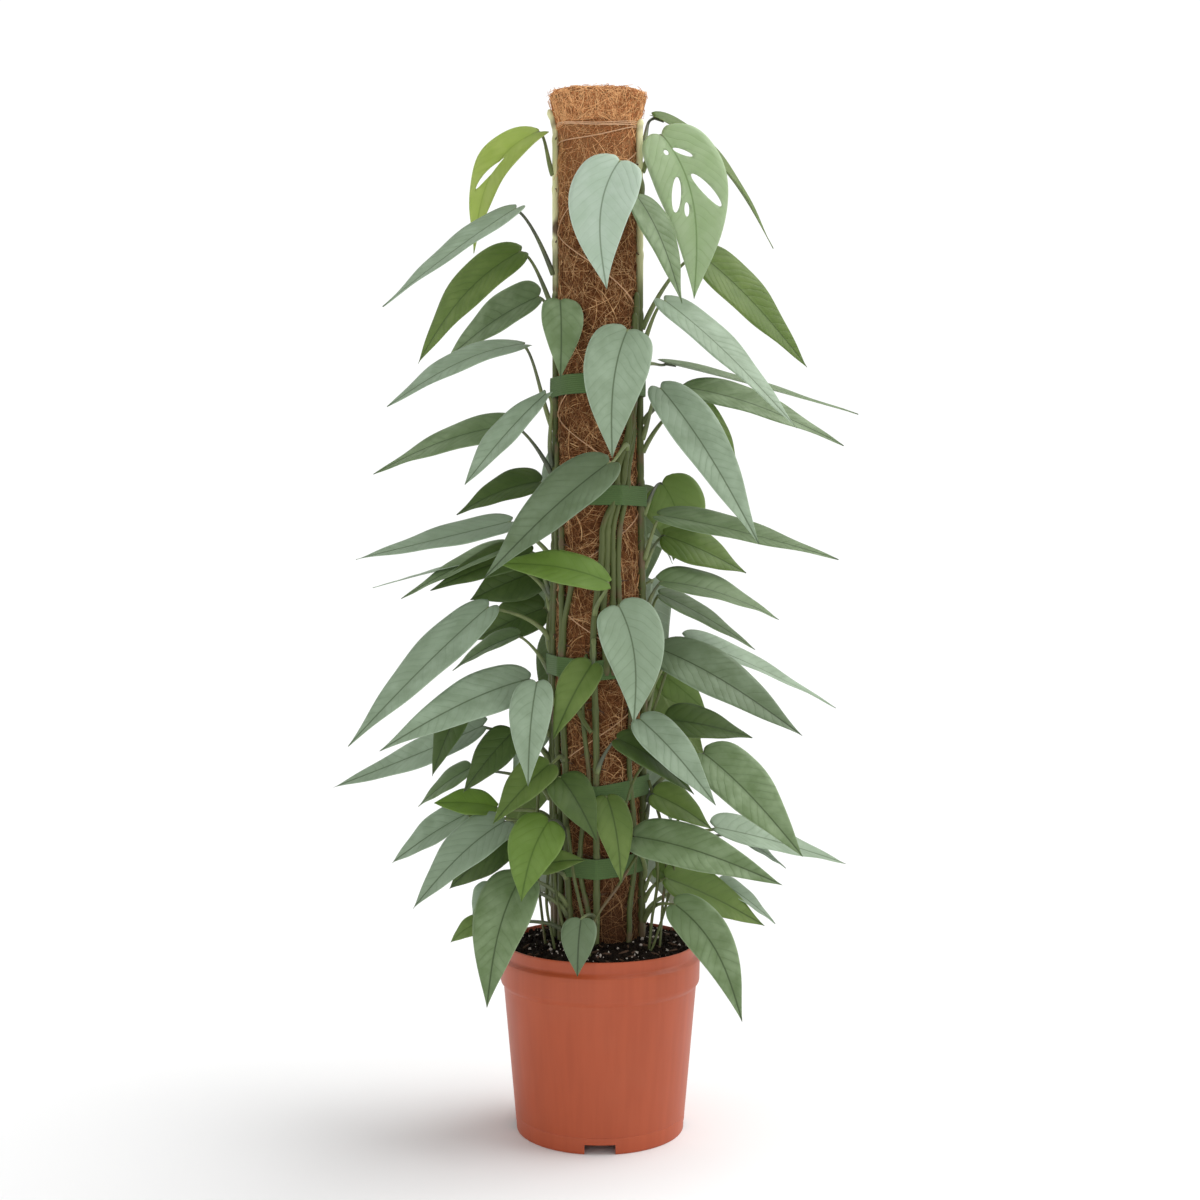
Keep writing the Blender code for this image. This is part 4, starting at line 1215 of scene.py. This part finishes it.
def make_stems():
    """Stems with swollen nodes, leaf scars and short clinging roots, and the loose shoots at the foot."""
    look = stem_look()
    root_look = grain_look("bark_bits")
    roots = []
    for order, (name, stem) in enumerate([*STEMS.items(), *SIDE_STEMS.items()]):
        points, radii, nodes = stem_tube(stem, order)
        replaced = ["stem_" + name] if name in STEMS else ()
        make_piece("climbing_" + name, tube(points, radii, 14), look, replaced)
        roots += node_roots(stem, nodes, random.Random(90 + order))
    make_piece("clinging_roots", joined(roots), root_look)
    shoots = []
    for shoot in SHOOTS:
        line = spline([Vector(point) for point in shoot.points], 8)
        radii = [shoot.radius * (1.0 - 0.25 * i / len(line)) for i in range(len(line))]
        shoots.append(tube(line, radii, 10))
    make_piece("loose_shoots", joined(shoots), look)


# Leaves


def leaf_axes(leaf):
    """Directions along, across and out of a blade."""
    along = (Vector(leaf.tip) - Vector(leaf.base)).normalized()
    viewer = Vector((0.0, 1.0 if leaf.stem == "back" else -1.0, 0.0))
    facing = (viewer - along * viewer.dot(along)).normalized()
    upper = facing.cross(along).normalized()
    if upper.z < 0:
        upper.negate()
    turn = math.radians(leaf.turn)
    out = upper * math.cos(turn) + facing * math.sin(turn)
    return along, along.cross(out).normalized(), out


def midrib(leaf, share):
    """A point of the midrib, which rises and then droops to the tip."""
    _, across, out = leaf_axes(leaf)
    base, tip = Vector(leaf.base), Vector(leaf.tip)
    bend = (tip - base).length * math.sin(math.pi * share**0.85)
    return base.lerp(tip, share) + out * (leaf.arch * bend) + across * (leaf.sway * bend)


def outline(share):
    """Half width of a blade as a share of its widest, by a smooth curve through the outline's points."""
    for i in range(len(OUTLINE) - 1):
        low, first = OUTLINE[i]
        high, last = OUTLINE[i + 1]
        if share <= high:
            before = OUTLINE[max(0, i - 1)]
            after = OUTLINE[min(len(OUTLINE) - 1, i + 2)]
            t = (share - low) / (high - low)
            start = (last - before[1]) / (high - before[0]) * (high - low)
            end = last - first
            if i + 2 < len(OUTLINE):
                end = (after[1] - first) / (after[0] - low) * (high - low)
            return (
                first * (2 * t**3 - 3 * t**2 + 1) + start * (t**3 - 2 * t**2 + t)
                + last * (3 * t**2 - 2 * t**3) + end * (t**3 - t**2)
            )
    return 0.0


def blade_grid(leaf, chance):
    """Upper points of the blade, row by row, with their place on the blade in millimetres."""
    _, across, _ = leaf_axes(leaf)
    length = (Vector(leaf.tip) - Vector(leaf.base)).length
    wide = leaf.width / 2
    twist = chance.uniform(-0.16, 0.16)
    phase = chance.uniform(0, 6.28)
    lean = chance.uniform(-0.05, 0.05)
    fold = chance.uniform(0.24, 0.40)
    rows = []
    for step in range(BLADE_ROWS + 1):
        share = (step / BLADE_ROWS) ** 1.25
        middle = midrib(leaf, share)
        forward = (midrib(leaf, min(1.0, share + 0.01)) - midrib(leaf, max(0.0, share - 0.01))).normalized()
        spread = (across - forward * across.dot(forward)).normalized()
        normal = spread.cross(forward).normalized()
        angle = twist * share
        spread, normal = (
            spread * math.cos(angle) + normal * math.sin(angle),
            normal * math.cos(angle) - spread * math.sin(angle),
        )
        half = max(0.12, outline(share ** LATE_BLADES.get(leaf.name, 1.0)) * wide)
        back = LOBE * length * (1.0 - share) ** 4
        row = []
        for column in range(BLADE_COLUMNS + 1):
            position = 2 * column / BLADE_COLUMNS - 1
            size = abs(position)
            reach = position * half * (1.0 + lean * (1 if position > 0 else -1))
            set_back = back * (1.0 - (1.0 - size) ** 2.2)
            ripple = 0.35 * wide * 0.06 * size**2 * math.sin(share * 17.0 + phase + 1.9 * (position > 0))
            rise = half * (fold * size - 0.17 * size * size) + ripple
            point = middle + spread * reach - forward * set_back + normal * rise
            row.append((point, normal, reach, share * length - set_back))
        rows.append(row)
    return rows


def stalk_line(leaf):
    """The stalk's centre line from the stem up and over to the blade."""
    stem = STEMS[leaf.stem]
    x, y = stem_place(stem, leaf.start)
    away = Vector((x - POLE_X, y, 0.0)).normalized()
    base = Vector(leaf.base)
    toward = Vector((base.x - x, base.y - y, 0.0))
    toward = toward.normalized() if toward.length > 1.0 else away
    leave = (away * 1.2 + toward).normalized()
    start = Vector((x, y, leaf.start)) + leave * (stem.radius * 0.7)
    _, _, out = leaf_axes(leaf)
    arrive = (midrib(leaf, 0.04) - base).normalized() * 0.6 + out * 0.8
    span = (base - start).length
    first = start + leave * (0.14 * span) + Vector((0.0, 0.0, 0.34 * span))
    last = base - arrive.normalized() * (0.22 * span)
    points = []
    steps = 18
    for step in range(steps + 1):
        t = step / steps
        s = 1 - t
        points.append(start * s**3 + first * 3 * s * s * t + last * 3 * s * t * t + (base - out * 0.8) * t**3)
    points.append(midrib(leaf, 0.05) - out * 1.0)
    return points


def blade_faces():
    """Faces of a blade's two sides and edge, and the material of each: 0 above, 1 below."""
    columns = BLADE_COLUMNS + 1
    under = (BLADE_ROWS + 1) * columns
    faces, kinds = [], []
    for i in range(BLADE_ROWS):
        for k in range(BLADE_COLUMNS):
            a, d = i * columns + k, (i + 1) * columns + k
            b, c = a + 1, d + 1
            faces += [(a, b, c, d), (under + d, under + c, under + b, under + a)]
            kinds += [0, 1]
    rim = list(range(columns))
    rim += [i * columns + BLADE_COLUMNS for i in range(1, BLADE_ROWS + 1)]
    rim += [BLADE_ROWS * columns + k for k in range(BLADE_COLUMNS - 1, -1, -1)]
    rim += [i * columns for i in range(BLADE_ROWS - 1, 0, -1)]
    for here, there in zip(rim, rim[1:] + rim[:1]):
        faces.append((there, here, under + here, under + there))
        kinds.append(0)
    return faces, kinds


def stalk_radii(leaf, count):
    """Thick at the sheath by the stem, slender, with a small knee just before the blade."""
    size = PETIOLE_RADIUS * (0.8 + 0.004 * leaf.width)
    radii = []
    for i in range(count):
        share = i / (count - 1)
        sheath = 0.85 * math.exp(-((share / 0.42) ** 2))
        knee = 0.25 * math.exp(-(((share - 0.93) / 0.05) ** 2))
        radii.append(size * (0.92 + sheath + knee))
    radii[-1] *= 0.45
    return radii


def make_leaf(leaf, looks, replaced):
    """One leaf: a thin closed blade with its own upper and lower face, and its stalk."""
    rows = blade_grid(leaf, random.Random(leaf.name))
    points, places, rims = [], [], []
    for side in (0.5, -0.5):
        for order, row in enumerate(rows):
            for index, (point, normal, reach, run) in enumerate(row):
                edge = abs(2 * index / BLADE_COLUMNS - 1)
                points.append(point + normal * (side * BLADE_THICKNESS * (1.0 - 0.5 * edge)))
                places.append((0.5 + reach / BLADE_MAP_WIDTH, run / BLADE_MAP_LENGTH))
                rims.append((edge, order / BLADE_ROWS))
    faces, kinds = blade_faces()
    line = stalk_line(leaf)
    stalk_points, stalk_faces = tube(line, stalk_radii(leaf, len(line)), 10)
    points, faces = joined([(points, faces), (stalk_points, stalk_faces)])
    places.extend([(0.5, 0.0)] * len(stalk_points))
    rims.extend([(0.0, 0.0)] * len(stalk_points))
    kinds.extend([2] * len(stalk_faces))
    name = "blade_" + leaf.name
    mesh = mesh_of(name, points, faces)
    mesh.polygons.foreach_set("material_index", kinds)
    corners = np.empty(len(mesh.loops), np.int32)
    mesh.loops.foreach_get("vertex_index", corners)
    for layer, values in (("blade", places), ("rim", rims)):
        mesh.uv_layers.new(name=layer).data.foreach_set("uv", np.array(values)[corners].ravel())
    obj = finish_piece(name, mesh, looks, replaced)
    if leaf.name in SLITS:
        cut_away(obj, slit_solids(leaf))


def slit_solids(leaf):
    """Lens-shaped cutters that stand across the blade."""
    along, across, out = leaf_axes(leaf)
    length = (Vector(leaf.tip) - Vector(leaf.base)).length
    bm = bmesh.new()
    for slit in SLITS[leaf.name]:
        centre = midrib(leaf, slit.along / length) + across * slit.across
        slant = math.radians(slit.slant)
        run = along * math.cos(slant) + across * math.sin(slant)
        wide = out.cross(run).normalized()
        low, high = [], []
        for step in range(20):
            angle = 2 * math.pi * step / 20
            flat = run * (slit.length / 2 * math.cos(angle)) + wide * (slit.width / 2 * math.sin(angle))
            low.append(bm.verts.new((centre + flat - out * 14.0) * MM))
            high.append(bm.verts.new((centre + flat + out * 14.0) * MM))
        bm.faces.new(low)
        bm.faces.new(high)
        for k in range(20):
            j = (k + 1) % 20
            bm.faces.new((low[k], low[j], high[j], high[k]))
    return bm


def back_leaf(number, row):
    """A leaf of the hidden side, hanging from a stalk that stands out behind the pole."""
    chance = random.Random(300 + number)
    size = chance.uniform(0.78, 1.12)
    depth = chance.uniform(*BACK_BASES) - abs(row.aside) * 0.22
    reach = chance.uniform(*BACK_TIPS) - abs(row.aside) * 0.12
    base = (POLE_X + row.aside + chance.uniform(-7, 7), depth, row.height)
    lean = (row.lean + chance.uniform(-14, 14)) * size
    tip = (POLE_X + row.aside + lean, reach, row.height - row.drop * size)
    start = min(row.height - 46.0, 880.0)
    width = 52 * size * chance.uniform(0.88, 1.08)
    turn = chance.uniform(58, 104)
    arch, sway = chance.uniform(0.02, 0.12), chance.uniform(-0.08, 0.08)
    return Leaf(f"rear_{number}", "back", start, base, tip, width, turn, arch, row.tone, sway)


def make_leaves():
    stalk = stalk_look()
    looks = {}
    for name, tone in TONES.items():
        looks[name] = [leaf_upper_look(name, tone), leaf_under_look(name, tone), stalk]
    for leaf in LEAVES:
        make_leaf(leaf, looks[leaf.tone], ["leaf_" + leaf.name])
    for leaf in EXTRA_LEAVES:
        make_leaf(leaf, looks[leaf.tone], [])
    for number, row in enumerate(BACK_LEAVES, 1):
        make_leaf(back_leaf(number, row), looks[row.tone], [])


# Studio


def make_floor():
    """A plain pale floor."""
    look = Look("floor")
    grain = look.noise(look.place(), 3.0, 2.0)
    look.set(Base_Color=look.mix(grain, (0.90, 0.90, 0.90), (0.92, 0.92, 0.92)), Roughness=0.9)
    look.set(Specular_IOR_Level=0.1)
    side = FLOOR_REACH
    mesh = bpy.data.meshes.new("floor")
    corners = [(-side, -side, 0), (side, -side, 0), (side, side, 0), (-side, side, 0)]
    mesh.from_pydata(corners, [], [(0, 1, 2, 3)])
    mesh.materials.append(look.material)
    floor = bpy.data.objects.new("floor", mesh)
    bpy.context.scene.collection.objects.link(floor)


def make_world():
    """White surroundings, brightest around the horizon like a lit backdrop, softer overhead."""
    world = bpy.data.worlds.new("studio")
    world.use_nodes = True
    tree = world.node_tree
    coordinates = tree.nodes.new("ShaderNodeTexCoord")
    parts = tree.nodes.new("ShaderNodeSeparateXYZ")
    level = tree.nodes.new("ShaderNodeMath")
    level.operation = "ABSOLUTE"
    strength = tree.nodes.new("ShaderNodeMapRange")
    strength.interpolation_type = "SMOOTHSTEP"
    fade = {"From Min": 0.42, "From Max": 0.65, "To Min": 1.06, "To Max": 0.42}
    for key, value in fade.items():
        strength.inputs[key].default_value = value
    background = tree.nodes["Background"]
    background.inputs[0].default_value = (1.0, 1.0, 1.0, 1.0)
    tree.links.new(coordinates.outputs["Generated"], parts.inputs[0])
    tree.links.new(parts.outputs[2], level.inputs[0])
    tree.links.new(level.outputs[0], strength.inputs["Value"])
    tree.links.new(strength.outputs[0], background.inputs[1])
    bpy.context.scene.world = world


def make_studio():
    """White surroundings, a broad key light from the upper right front, and the camera."""
    make_floor()
    make_world()
    sun = bpy.data.lights.new("key", "SUN")
    sun.energy = KEY_STRENGTH
    sun.angle = math.radians(KEY_SPREAD)
    key = bpy.data.objects.new("key", sun)
    key.rotation_euler = Vector(KEY_DIRECTION).to_track_quat("Z", "Y").to_euler()
    bpy.context.scene.collection.objects.link(key)
    camera_data = bpy.data.cameras.new("camera")
    camera_data.lens = CAMERA_LENS
    camera_data.sensor_width = 36.0
    camera = bpy.data.objects.new("camera", camera_data)
    camera.location = (0.0, -CAMERA_DISTANCE, CAMERA_HEIGHT)
    camera.rotation_euler = (math.radians(90.0), 0.0, 0.0)
    bpy.context.scene.collection.objects.link(camera)
    bpy.context.scene.camera = camera
    bpy.context.scene.view_settings.view_transform = "Standard"


def main():
    make_studio()
    make_pot()
    make_soil()
    make_soil_grains()
    make_stake()
    make_coir_mat()
    make_coir_fibres()
    make_twine()
    make_ties()
    make_stems()
    make_leaves()


main()
